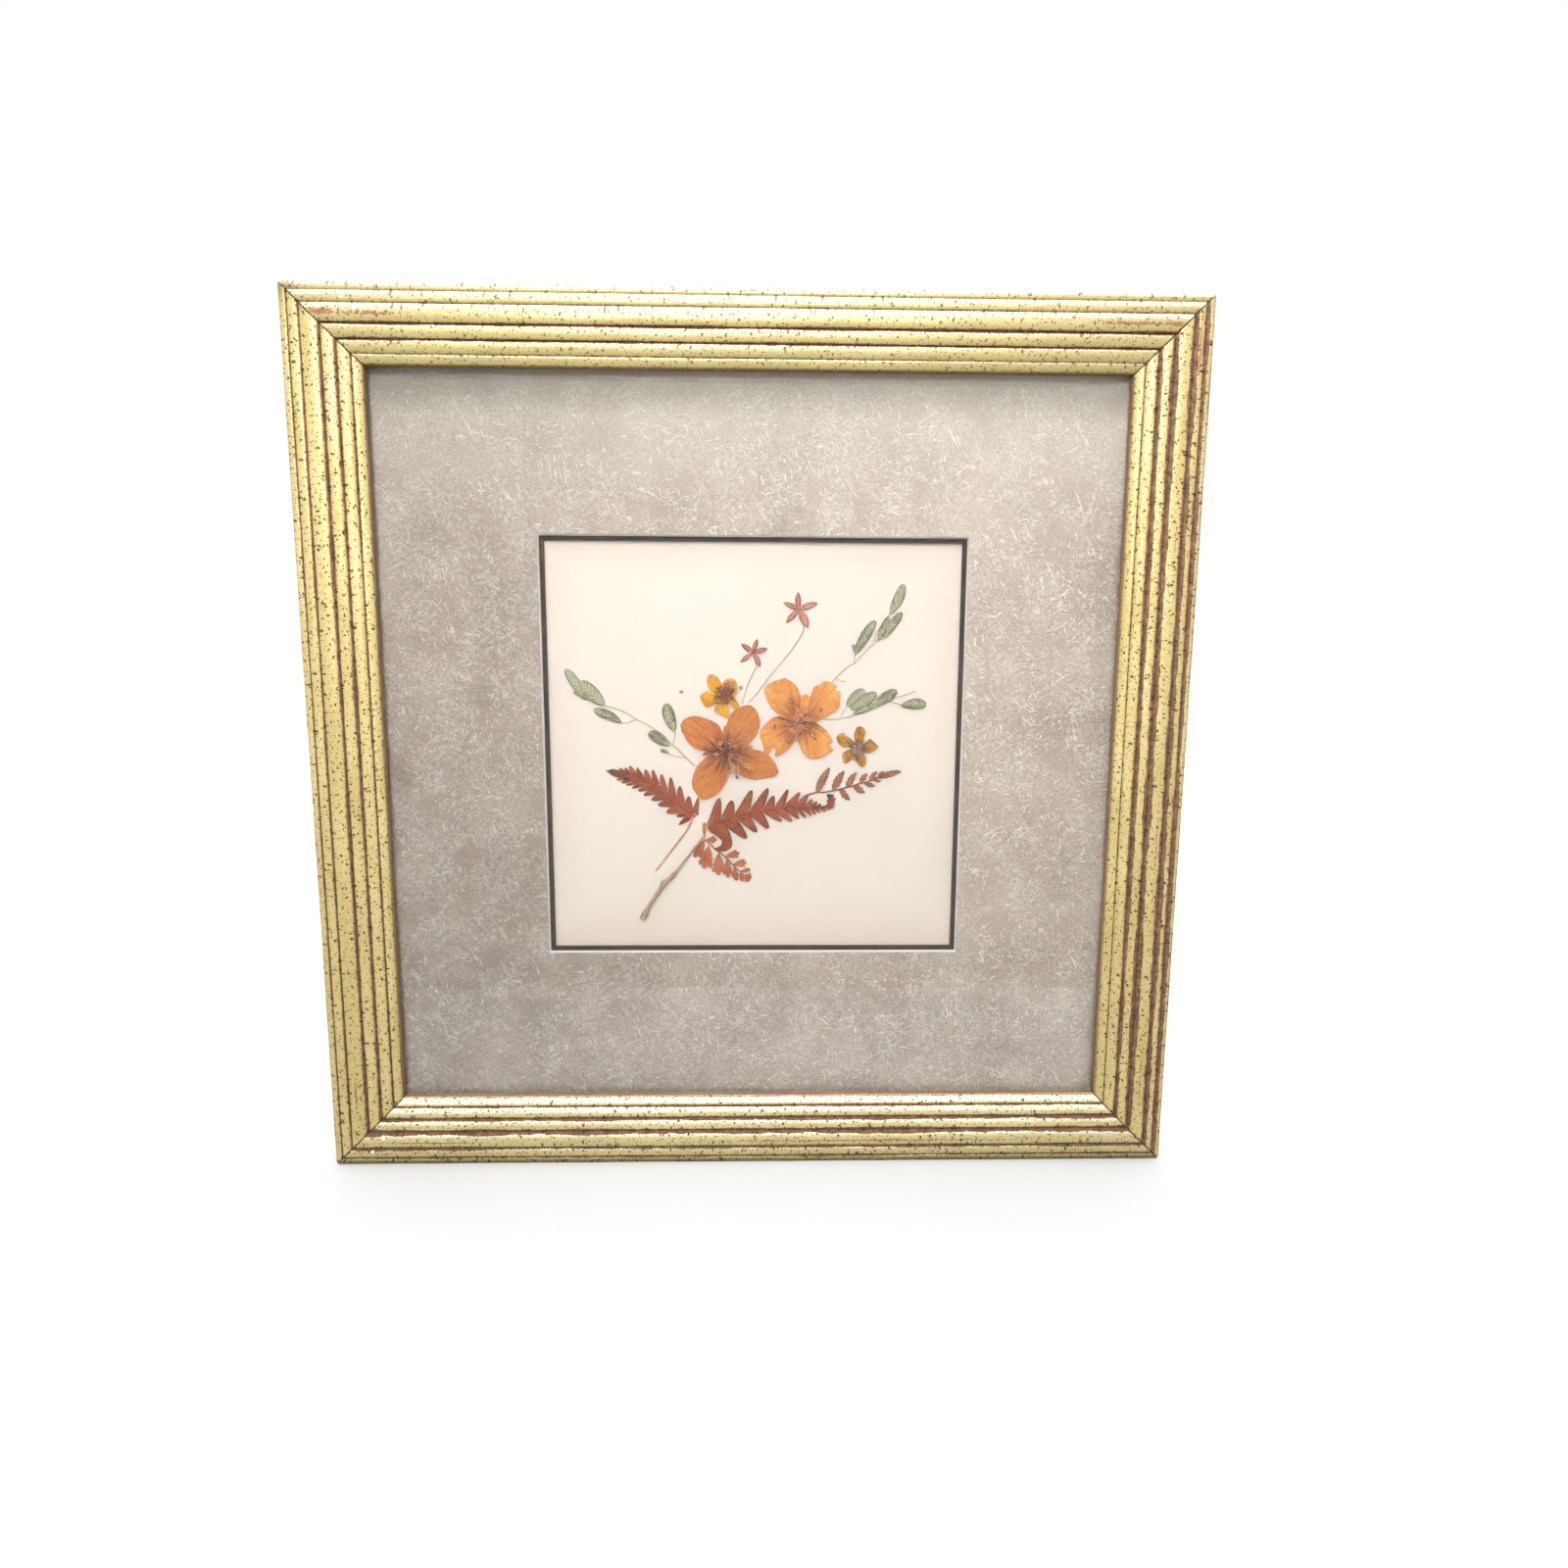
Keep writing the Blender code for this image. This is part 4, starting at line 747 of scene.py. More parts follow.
def gilding(settings):
    """Gold leaf over red clay: bare in the grooves, dark flecks all over, raw wood at the back,
    with painted light and shade: up-facing facets and the horizontal rails paler, the lower parts
    darker.
    """
    m = Recipe("gilding", {"Specular IOR Level": 0.32})
    run = m.stored("pattern")
    wear = m.split(m.stored("wear"))
    # On the rails, tone is 1 on the top and bottom rails; it marks where painted light and shade
    # go.
    tone = m.stored("tone", "Fac")
    along, across, depth = m.split(run)
    spread = m.joined(along, m.plus(across, depth))
    cloud = m.noise(m.moved(run, scale=(0.25, 1, 1)), 160, detail=4)
    grain = m.noise(run, 1800, detail=3, roughness=0.7)
    m.coated = m.ramp(cloud, (0.30, settings.gold_deep), (0.55, settings.gold),
                      (0.78, settings.gold_pale))
    m.coat(m.fade(grain, 0.35, 0.75, 0.0, 0.35), (176, 166, 92))
    edge = m.plus(wear[0], m.centred(m.noise(run, 1300, detail=4, roughness=0.7), 0.9))
    clay_share = m.fade(edge, -0.06, 0.07)
    soil_share = m.fade(edge, -1.35, 0.0, 0.0, 0.75)
    rubbed = m.plus(wear[1], m.centred(m.noise(run, 900, detail=5, roughness=0.7), 2.4))
    rub_share = m.fade(rubbed, 0.42, 0.56)
    clay = m.ramp(m.noise(run, 500, detail=4), (0.3, (84, 60, 42)), (0.55, settings.clay),
                  (0.8, (144, 110, 84)))
    blur = m.centred(m.noise(run, 2600, detail=2), 0.34)
    fleck = m.spots(m.moved(spread, scale=(1.0, 0.62, 1.0)), 270, 0.85, 0.035, 0.115, blur)
    for turn, scale in ((0.6, 400), (2.3, 520), (1.4, 700)):
        slanted = m.moved(spread, turn=(0, 0, turn), location=(turn, 0.2, 0))
        slanted = m.moved(slanted, scale=(0.6, 1.0, 1.0))
        fleck = m.most(fleck, m.spots(slanted, scale, 0.85, 0.04, 0.13, blur))
    dust = m.spots(m.moved(spread, location=(0.11, 0.37, 0)), 1250, 0.50, 0.10, 0.25, blur)
    fleck = m.most(fleck, m.times(dust, 0.6))
    m.coat(soil_share, (170, 144, 100))
    # Painted light: the top and bottom rails are painted paler than the side rails.
    m.coat(m.times(tone, 0.22), (202, 194, 160))
    bare = m.most(clay_share, rub_share)
    m.coat(rub_share, (158, 116, 84))
    m.coat(clay_share, clay)
    # Painted highlight: facets that face up are painted pale where the leaf is whole, palest on
    # the top rail, which high marks.
    facing_up = m.split(m.add("NewGeometry", {}).outputs["Normal"])[2]
    height = m.split(m.place())[2]
    high = m.times(tone, m.fade(height, 0.15, 0.20))
    painted_highlight = m.times(m.fade(facing_up, 0.05, 0.50, 0.0, 0.86), m.calc("SUBTRACT", 1.0, bare))
    m.coat(painted_highlight, m.blend(high, (242, 237, 206), (252, 249, 232)))
    # The flecks are painted fainter on the top rail, as part of its painted highlight.
    m.coat(m.times(fleck, m.calc("MULTIPLY_ADD", high, -0.20, 0.95)), (52, 42, 16))
    flat_place = m.moved(m.place(), scale=(1, 0, 1))
    torn = m.centred(m.noise(run, 1500, detail=3), 0.0012)
    for x, z, radius in CHIPS:
        away = m.distance(flat_place, (x * MM, 0.0, CENTRE_Z + z * MM))
        chip = m.fade(m.plus(away, torn), (radius + 0.1) * MM, (radius - 0.1) * MM)
        m.coat(chip, (236, 226, 210))
    corner = m.distance(flat_place, (-SIDE / 2, 0.0, SIDE))
    m.coat(m.fade(corner, 0.008, 0.002, 0.0, 0.8), (176, 174, 160), "MULTIPLY")
    wood = m.ramp(m.noise(m.moved(run, scale=(0.06, 1, 1)), 900, detail=4),
                  (0.3, (168, 132, 92)), (0.7, (206, 176, 132)))
    # Painted shade: the gold darkens from top to bottom, more on the bottom rail and most along
    # its lower edge, and the top rail's painted highlight is dimmed a little.
    m.coat(m.fade(height, 0.22, 0.03), (244, 243, 240), "MULTIPLY")
    for share, color in ((m.times(tone, m.fade(height, 0.016, 0.002)), (240, 240, 234)),
                         (m.times(tone, m.fade(height, 0.0034, 0.0006)), (160, 156, 126)),
                         (high, (219, 215, 202))):
        m.coat(share, color, "MULTIPLY")
    m.coat(wear[2], wood)
    dull = m.most(bare, fleck, wear[2])
    m.feed(m.shader, "Metallic", m.times(m.calc("SUBTRACT", 1.0, dull), 0.12))
    m.feed(m.shader, "Roughness", m.plus(m.fade(grain, 0.3, 0.7, 0.38, 0.50),
                                         m.times(dull, 0.30)))
    worn = m.fade(wear[0], -0.3, 0.2, 0.0, 0.5)
    m.bump(m.calc("SUBTRACT", m.times(grain, 0.35), worn), 0.00010, 0.7)
    return m.finished()


def clear_glass():
    """Picture glass with faint smears."""
    m = Recipe("clear_glass", {"Base Color": (0.985, 1.0, 0.992, 1), "Transmission Weight": 1.0,
                               "IOR": 1.45})
    smear = m.noise(m.moved(m.place(), scale=(1, 1, 3)), 14, detail=5, distortion=1.2)
    m.feed(m.shader, "Roughness", m.fade(smear, 0.6, 0.95, 0.0, 0.012))
    return m.owner


def off_middle(m, x, z, middle):
    """Return how far a place is from the middle of the window, level or upright."""
    return m.most(*(m.calc("ABSOLUTE", m.calc("SUBTRACT", place, centre))
                    for place, centre in zip((x, z), middle)))


def parchment(settings, window):
    """Mottled parchment paper with pale fibres, and a white cut edge around the window, with
    painted light and shade: lighter towards the top, darker towards the bottom and the left, and a
    painted band of shade and light under the top lip.
    """
    m = Recipe("parchment_mat", {"Roughness": 0.75})
    place = m.place()
    x, _, z = m.split(place)
    cloud = m.noise(place, 30, detail=5, roughness=0.62)
    m.coated = m.ramp(cloud, (0.32, settings.mat_dark), (0.52, settings.mat),
                      (0.70, settings.mat_light))
    # Painted light: the mat is painted lighter towards the top.
    m.coat(m.fade(z, 0.20, 0.27, 0.0, 0.55), (226, 214, 198))
    speckle = m.noise(place, 1700, detail=3, roughness=0.7)
    m.coat(m.fade(speckle, 0.50, 0.26, 0.0, 0.35), (124, 110, 98))
    thick = m.noise(place, 75, detail=4, roughness=0.6)

    def lines(turn, scale, stretch, start, end, curl=0.0):
        turned = m.moved(m.moved(place, turn=(0, turn, 0)), scale=(1.0, 1.0, stretch))
        return m.fade(m.noise(turned, scale, detail=1, distortion=curl), start, end)

    short = m.most(*(lines(*layer, 0.42, 0.59, 0.66) for layer in (
        (0.2, 1700), (0.75, 1400), (1.3, 1900), (1.8, 1500), (2.3, 1300), (2.8, 1600))))
    fibres = m.times(short, m.fade(thick, 0.38, 0.60, 0.12, 0.42))
    for turn, scale, stretch, curl, low in (
            (0.2, 2000, 0.20, 0.6, 0.44), (0.9, 2200, 0.20, 0.6, 0.44),
            (1.7, 2100, 0.20, 0.6, 0.44), (2.5, 2300, 0.20, 0.6, 0.44),
            (0.5, 1500, 0.08, 1.6, 0.50), (2.1, 1600, 0.08, 1.6, 0.50),
            (1.3, 1400, 0.09, 1.8, 0.54)):
        where = m.noise(m.moved(place, location=(turn, 0, 0)), 90, detail=2)
        fibres = m.most(fibres, m.times(lines(turn, scale, stretch, 0.64, 0.68, curl),
                                        m.fade(where, low, low + 0.14)))
    crumb = m.fade(m.noise(place, 2600, detail=1), 0.62, 0.70, 0.0, 0.45)
    m.coat(m.times(m.most(fibres, crumb), 0.97), (250, 243, 232))
    # Painted shade: the mat darkens towards the bottom and the left; under the top lip it is
    # painted darker in a band and much lighter right at the lip to cancel the lip's shadow, and a
    # little darker by the right lip.
    dim = m.times(m.fade(z, 0.02, 0.19, 0.81, 0.97), m.fade(x, -0.12, 0.08, 0.76, 1.0))
    painted_lip_shading = m.times(m.fade(z, 0.2650, 0.2520, 0.58, 0.97), m.fade(x, 0.1215, 0.1135, 0.92, 1.0),
                       m.fade(z, 0.2654, 0.2672, 1.0, 3.2))
    m.coat(1.0, m.times(dim, painted_lip_shading), "MULTIPLY")
    middle, half = window
    m.coat(m.calc("LESS_THAN", off_middle(m, x, z, middle), half), (238, 236, 230))
    m.bump(m.plus(speckle, thick), 0.00012, 0.5)
    return m.finished()


def board(name, dark, light, scale):
    """Uncoated board: short grey fibres and a little mottling."""
    m = Recipe(name, {"Roughness": 0.85})
    place = m.place()
    fibre = m.noise(m.moved(place, scale=(1, 1, 0.3)), scale, detail=5, roughness=0.7)
    m.bump(fibre, 0.00008, 0.6)
    m.coated = m.ramp(fibre, (0.3, dark), (0.7, light))
    return m.finished()


def cream_card(settings, window):
    """Cream paper with a faint weave, a pinkish rim near the window, painted shade towards the
    bottom, and a few specks.
    """
    m = Recipe("cream_card", {"Roughness": 0.8})
    place = m.place()
    x, _, z = m.split(place)
    middle, half = window
    rim = m.fade(off_middle(m, x, z, middle), half * 0.80, half)
    weave = m.plus(*(m.noise(m.moved(place, scale=scale), 420, detail=2)
                     for scale in ((1, 1, 9), (9, 1, 1))))
    stain = m.noise(place, 45, detail=4)
    m.coated = m.blend(m.fade(stain, 0.42, 0.72, 0.0, 0.4), settings.card, (246, 233, 212))
    # The rim near the window is pinkish; the foot is painted shade, pinker and darker towards the
    # bottom.
    foot_shade = m.fade(z, middle[1] - half * 0.72, middle[1] - half, 0.0, 0.5)
    m.coat(m.most(m.times(rim, 0.32), foot_shade), (232, 208, 190))
    # Painted shade: the card darkens towards the bottom.
    m.coat(m.fade(z, middle[1] + half * 0.3, middle[1] - half), (250, 251, 250), "MULTIPLY")
    speck = m.spots(m.joined(x, z), 95, 0.20, 0.012, 0.028)
    m.coat(m.times(speck, 0.4), (186, 166, 132))
    m.bump(weave, 0.00006, 0.35)
    return m.finished()


def kraft_paper():
    """Brown wrapping paper with fine ribs and darker scuffs."""
    m = Recipe("kraft_paper", {"Roughness": 0.8})
    place = m.place()
    rib = m.noise(m.moved(place, scale=(8, 1, 0.6)), 260, detail=3)
    blot = m.noise(place, 26, detail=5, roughness=0.6)
    m.coated = m.ramp(blot, (0.3, (150, 112, 74)), (0.55, (176, 136, 92)), (0.8, (194, 156, 112)))
    m.coat(m.fade(rib, 0.4, 0.7, 0.0, 0.25), (120, 86, 54))
    m.bump(rib, 0.00008, 0.5)
    return m.finished()


def brass():
    """Plated steel with dull spots."""
    m = Recipe("hanger_brass", {"Metallic": 0.9})
    place = m.place()
    dull = m.noise(place, 380, detail=5, roughness=0.65)
    m.coated = m.ramp(dull, (0.35, (150, 112, 52)), (0.65, (206, 170, 96)))
    m.feed(m.shader, "Roughness", m.fade(dull, 0.3, 0.7, 0.5, 0.26))
    m.bump(m.noise(m.moved(place, scale=(12, 1, 1)), 500, detail=2), 0.00002, 0.4)
    return m.finished()


def petal(name, deep, body, light, edge, vein, hub, hub_reach, veins=12.0, vein_share=0.6,
          net_share=0.0):
    """A dry petal: veins fan out from the hub, dark streaks stain its base, and the thin rim is
    darker."""
    m = Recipe(name, {"Roughness": 0.62, "Specular IOR Level": 0.35})
    out, turn, rim = m.split(m.stored("pattern"))
    tone = m.stored("tone", "Fac")
    place = m.place()
    cloud = m.noise(place, 150, detail=4)
    m.coated = m.ramp(cloud, (0.32, deep), (0.50, body), (0.68, light))
    m.coat(m.fade(tone, 0.0, 1.0, 0.0, 0.3), light)
    fan = m.joined(out, turn, tone)
    broad = m.noise(m.moved(fan, scale=(2.0, veins, 7.0)), 1.0, detail=3, roughness=0.6,
                    distortion=0.3)
    thin = m.noise(m.moved(fan, scale=(3.5, veins * 2.7, 7.0), location=(3.1, 0.7, 0)), 1.0,
                   detail=2)
    mottle = m.noise(place, 1100, detail=4, roughness=0.65)
    for value, start, end, share, color in (
            (mottle, 0.48, 0.66, 0.35, light), (mottle, 0.50, 0.36, 0.30, vein),
            (broad, 0.55, 0.70, 0.28, light), (thin, 0.52, 0.38, vein_share * 0.7, vein),
            (broad, 0.51, 0.39, vein_share, vein)):
        m.coat(m.fade(value, start, end, 0.0, share), color)
    if net_share:
        cells = m.add("TexVoronoi", {"Vector": m.moved(fan, scale=(9.0, 10.0, 7.0)), "Scale": 1.0},
                      feature="DISTANCE_TO_EDGE").outputs["Distance"]
        m.coat(m.fade(cells, 0.13, 0.02, 0.0, net_share), vein)
    streak = m.noise(m.moved(fan, scale=(1.3, 6.5, 9.0), location=(0, 2.4, 0)), 1.0, detail=4)
    stain = m.plus(out, m.centred(streak, 1.1))
    m.coat(m.fade(stain, hub_reach, hub_reach * 0.2, 0.0, 0.9), hub)
    ragged = m.plus(rim, m.centred(m.noise(place, 700), 0.10))
    m.coat(m.fade(ragged, 0.92, 1.02, 0.0, 0.5), edge)
    m.bump(m.plus(broad, m.times(thin, 0.6)), 0.00025, 0.6)
    return m.finished()


def leaf(name, deep, body, light, edge, folds, rib, lean=1.4, fold_share=0.5, tip_share=0.0,
         edge_from=0.0):
    """A dry leaf: side veins lean forward from the midrib, and the rim and the tip are darker."""
    m = Recipe(name, {"Roughness": 0.7, "Specular IOR Level": 0.3})
    along, across, rim = m.split(m.stored("pattern"))
    tone = m.stored("tone", "Fac")
    place = m.place()
    cloud = m.noise(place, 420, detail=4, roughness=0.6)
    m.coated = m.ramp(cloud, (0.36, deep), (0.5, body), (0.64, light))
    mottle = m.noise(place, 1500, detail=4, roughness=0.7)
    m.coat(m.fade(mottle, 0.50, 0.66, 0.0, 0.45), light)
    m.coat(m.fade(mottle, 0.48, 0.34, 0.0, 0.40), deep)
    m.coat(m.fade(tone, 0.0, 1.0, 0.0, 0.6), light)
    away = m.calc("ABSOLUTE", across)
    wave = m.calc("SUBTRACT", m.times(along, folds), m.times(away, lean))
    fold = m.calc("PINGPONG", m.plus(wave, m.times(m.noise(place, 600), 0.5)), 0.5)
    if folds:
        m.coat(m.fade(fold, 0.24, 0.05, 0.0, fold_share), edge)
        m.coat(m.fade(fold, 0.33, 0.5, 0.0, fold_share * 0.8), light)
    m.coat(m.fade(away, 0.20, 0.04, 0.0, 0.7), rib)
    ragged = m.plus(rim, m.centred(m.noise(place, 900), 0.3))
    border = m.times(m.fade(ragged, 0.62, 0.98, 0.0, 0.8),
                     m.fade(along, edge_from - 0.1, edge_from + 0.1))
    m.coat(m.most(border, m.fade(along, 0.55, 1.0, 0.0, tip_share)), edge)
    m.bump(m.plus(fold, m.times(cloud, 0.5)), 0.0002, 0.5)
    return m.finished()


def stalk(name, dark, light, scale=260.0):
    """A dry stem: long fibres and darker joints."""
    m = Recipe(name, {"Roughness": 0.65, "Specular IOR Level": 0.3})
    run = m.stored("pattern")
    fibre = m.noise(m.moved(run, scale=(0.9, 3.0, 1.0)), 1.2, detail=4)
    blot = m.noise(m.place(), scale, detail=4)
    m.coated = m.ramp(m.calc("MULTIPLY_ADD", fibre, 0.5, m.times(blot, 0.5)), (0.35, dark),
                      (0.6, light))
    m.bump(fibre, 0.00012, 0.5)
    return m.finished()


def bark():
    """Grey-brown twig bark with long cracks and pale scars."""
    m = Recipe("twig_bark", {"Roughness": 0.8})
    run = m.stored("pattern")
    place = m.place()
    crack = m.noise(m.moved(run, scale=(0.35, 2.2, 1.0)), 2.2, detail=5, roughness=0.65)
    blot = m.noise(place, 320, detail=4)
    m.coated = m.ramp(crack, (0.34, (136, 104, 82)), (0.48, (184, 152, 126)),
                      (0.64, (212, 184, 160)))
    m.coat(m.fade(blot, 0.55, 0.75, 0.0, 0.45), (146, 116, 92))
    m.bump(crack, 0.0004, 0.7)
    return m.finished()


# ---- The frame

def moulding_section(steps=16):
    """Return the section across and in depth, the outward normal, and which points are reeds.

    Each reed is half an ellipse between two grooves.
    """
    turn = np.pi * np.arange(steps) / steps
    share = (1 - np.cos(turn)) / 2
    across, depth = [], []
    for i, rise in enumerate(REED_RISES):
        across.append(GROOVES[i] + (GROOVES[i + 1] - GROOVES[i]) * share)
        depth.append(GROOVE_DEPTHS[i] + (GROOVE_DEPTHS[i + 1] - GROOVE_DEPTHS[i]) * share
                     - rise * np.sin(turn))
    reed_across, reed_depth = np.concatenate(across), np.concatenate(depth)
    side = np.linspace(RAIL_DEPTH, GROOVE_DEPTHS[0] + 0.0004, 14)
    lip = np.linspace(GROOVE_DEPTHS[-1], LIP_BACK, 8)
    shelf = np.linspace(RAIL_FACE, RAIL_FACE - REBATE, 5)[1:]
    wall = np.linspace(LIP_BACK, RAIL_DEPTH, 8)[1:]
    back = np.linspace(RAIL_FACE - REBATE, 0.0, 12)[1:-1]
    full_across = np.concatenate([np.zeros(len(side)), reed_across, np.full(len(lip), RAIL_FACE),
                                  shelf, np.full(len(wall), RAIL_FACE - REBATE), back])
    full_depth = np.concatenate([side, reed_depth, lip, np.full(len(shelf), LIP_BACK), wall,
                                 np.full(len(back), RAIL_DEPTH)])
    kind = np.concatenate([np.full(len(side), 1), np.zeros(len(reed_across)), np.full(len(lip), 2),
                           np.full(len(shelf) + len(wall) + len(back), 3)])
    run = np.stack([np.roll(full_across, -1) - np.roll(full_across, 1),
                    np.roll(full_depth, -1) - np.roll(full_depth, 1)], 1)
    run /= np.linalg.norm(run, axis=1)[:, None]
    return full_across, full_depth, np.stack([run[:, 1], -run[:, 0]], 1), kind


def rail_mesh(name, settings, seed):
    """Return one mitred rail and its wear.

    The section is carried along the rail; at the share t of the way the point stands at t times
    its distance from the frame's centre, so both ends are mitred. The gesso is uneven by noise.
    """
    across, depth, normal, kind = moulding_section()
    t = np.linspace(-1, 1, STATIONS)[:, None]
    reach = SIDE / 2 - across - MITRE_GAP
    along = t * reach
    wide_across = np.broadcast_to(across, along.shape)
    hand = unevenness(along / 0.011, wide_across / 0.004, seed) * 0.00005
    pits = unevenness(along / 0.0016, wide_across / 0.0011, seed + 5) * 0.00002
    offset = (hand + pits) * (kind == 0) * settings.unevenness
    out_across = across - normal[:, 0] * offset
    out_depth = depth - normal[:, 1] * offset
    x, z = along, SIDE / 2 - out_across
    corner = settings.corner_radius
    into_x, into_z = SIDE / 2 - np.abs(x), SIDE / 2 - z
    near = (into_x < corner) & (into_z < corner)
    far = np.hypot(corner - into_x, corner - into_z)
    pull = np.where(near & (far > corner), corner / np.maximum(far, 1e-9), 1.0)
    x = np.sign(x) * (SIDE / 2 - (corner - (corner - into_x) * pull))
    z = SIDE / 2 - (corner - (corner - into_z) * pull)
    turned = {"rail_top": (x, z), "rail_bottom": (-x, -z), "rail_left": (-z, x),
              "rail_right": (z, -x)}[name]
    points = np.stack([turned[0], FRONT_Y + out_depth, CENTRE_Z + turned[1]], -1).reshape(-1, 3)
    run = np.stack([along + seed * 0.7, wide_across + seed * 0.1,
                    np.broadcast_to(depth, along.shape)], -1).reshape(-1, 3)
    return points, run, rail_wear(name, along, wide_across, depth, kind, seed)


def rail_wear(name, along, across, depth, kind, seed):
    """Return how bare each point is: clay in the grooves, rubbed patches, and raw wood behind."""
    place = along / MM
    if name in ("rail_bottom", "rail_right"):
        place = -place
    bare = np.full(along.shape, -9.0)
    for i, (groove, width) in enumerate(zip(GROOVES, BARE_CLAY[name])):
        swell = (1 + 0.26 * unevenness(place / 19.0, np.full_like(place, i), seed + 3)
                 + 0.20 * unevenness(place / 3.1, np.full_like(place, i), seed + 9))
        bare = np.maximum(bare, width * swell - np.abs(across - groove) / MM)
    bare = np.where(kind == 1, -0.3, bare)
    bare = np.where(kind == 2, smooth(depth, 0.0040, 0.0050) - 0.4, bare)
    rubbed = np.zeros(along.shape)
    for line, dashes in CREST_DASHES:
        rubbed = np.maximum(rubbed, dashes * np.exp(-((across / MM - line) / 0.35) ** 2))
    rubbed = rubbed * (kind == 0)
    for rail, centre, line, length, width in RUBBED:
        if rail == name:
            spread = ((place - centre) / length) ** 2 + ((across / MM - line) / width) ** 2
            rubbed = np.maximum(rubbed, np.exp(-spread))
    mitre = smooth(along.max(0) - np.abs(along), 0.0006, 0.0)
    bare = np.where(kind == 0, np.maximum(bare, mitre * 0.5 - 0.45), bare)
    raw = np.broadcast_to(np.where(kind == 2, 0.35, kind == 3), along.shape)
    return np.stack([bare, rubbed, raw], -1).reshape(-1, 3)


def build_moulding(settings):
    """Build the four rails."""
    material = gilding(settings)
    for seed, name in enumerate(RAILS):
        points, run, wear = rail_mesh(name, settings, seed)
        columns = len(points) // STATIONS
        first = np.arange(columns)[None, ::-1]
        last = np.arange(columns)[None] + (STATIONS - 1) * columns
        shells = Shells()
        # Tone 1 marks the top and bottom rails, which the gilding paints with light and shade.
        shells.add(points, [grid_faces(STATIONS, columns, True), first, last], run,
                   1.0 if name in ("rail_top", "rail_bottom") else 0.0)
        rail = shells.piece("gilt_" + name, [material], (name,), "gilding")
        store(rail.data, "wear", wear)
        rail.data.set_sharp_from_angle(angle=math.radians(50))


# ---- The plants

def blade_edges(base, tip, width, base_taper=0.1, tip_taper=0.0, teeth=0, tooth=0.0, bend=0.0,
                count=72):
    """Return the left and right edge of a leaf.

    The half width is sin(angle) times powers of the share from base and tip, as on an ellipse.
    Each tooth widens towards the tip and then steps back. The midline bows by bend.
    """
    base, tip = np.array(base, float), np.array(tip, float)
    axis = tip - base
    length = np.linalg.norm(axis)
    normal = np.array([-axis[1], axis[0]]) / length
    angle = np.linspace(0, np.pi, count)
    share = (1 - np.cos(angle)) / 2
    half = np.sin(angle) * np.maximum(share, 1e-4) ** base_taper
    half = half * np.maximum(1 - share, 1e-4) ** tip_taper
    half *= width / 2 / half.max()
    edges = []
    for side, phase in ((1, 0.0), (-1, 0.45)):
        step = (share * teeth + phase) % 1.0
        edge = half * (1 - tooth * (1 - step)) if teeth else half
        middle = base + share[:, None] * axis + normal * (4 * share * (1 - share) * bend)[:, None]
        forward = axis / length * (tooth * step * half * 0.8)[:, None]
        edges.append(middle + side * normal * edge[:, None] + forward)
    for edge in edges:
        edge[0], edge[-1] = base, tip
    return edges


def add_blade(shells, edges, depth, relief, tone, thickness=LEAF_THICKNESS, sides=16):
    """Add a thin blade between two edges."""
    shells.add(*band(*edges, depth, thickness, relief, sides), tone)


def pressed(waves, ribs=0.0, folds=0.0, seed=0):
    """Return a leaf's relief in millimetres: slow waves, a raised midrib and slanting folds."""
    def relief(flat, u, v):
        slow = waves * unevenness(flat[:, 0] / 2.6, flat[:, 1] / 2.6, seed)
        crest = ribs * np.exp(-(v / 0.16) ** 2)
        slant = 0.05 * np.sin(2 * np.pi * (u * folds - np.abs(v) * 1.1)) if folds else 0.0
        return slow + crest + slant
    return relief


def add_stem(shells, width, points, depth, finish, seed=0):
    """Add a stem: a flattened tube through millimetre points, whose width and height wander."""
    flat = smooth_path(points, 8 * len(points))
    wobble = 1 + 0.18 * wander(len(flat), 4.0, seed + 0.5, seed)
    path = placed(flat, depth + 0.00006 * wander(len(flat), 6.0, 0, seed + 2))
    shells.add(*strand(path, width / 2 * MM * wobble, sides=10, flatness=0.7), 0.5, finish)


def petal_relief(seed, droop, veins):
    """Return a petal's relief in millimetres: slow waves, fanned ribs, a lifted rim in places, and
    the fall of its tip towards the card."""
    def relief(flat, out, turn, rim):
        slow = 0.10 * unevenness(flat[:, 0] / 3.2, flat[:, 1] / 3.2, seed)
        ribs = 0.035 * np.cos(turn * veins) * smooth(out, 0.1, 0.4) * (1 - rim ** 4)
        lifted = 0.22 * np.maximum(0, unevenness(turn * 2.6 + 5, out * 0.0, seed + 1)) * rim ** 9
        return slow + ribs + lifted - droop * smooth(out, 0.15, 0.9)
    return relief


def build_flower(name, petals, hub, depth, droop, material, slot, seed, tones, slivers=()):
    """Build the petals of one open flower, later ones lying on the earlier ones, and the torn
    slivers of petal between them."""
    shells = Shells()
    hub = np.array(hub)
    for i, (points, tone) in enumerate(zip(petals, tones)):
        outline = smooth_loop(points, PETAL_POINTS)
        ragged = wander(PETAL_POINTS, 2.3, i, seed)
        outline = outline + (outline - outline.mean(0)) * (ragged * 0.014)[:, None]
        relief = petal_relief(seed * 7 + i, droop, 34)
        shells.add(*disc(outline, hub, depth - i * 0.00012, PETAL_THICKNESS, relief), tone)
    for i, (base, tip, width, bend) in enumerate(slivers):
        add_blade(shells, blade_edges(base, tip, width, bend=bend), depth + 0.0001,
                  pressed(0.05, seed=seed + i), 0.9, PETAL_THICKNESS)
    return shells.piece(name + "_petals", [material], (name,), slot)


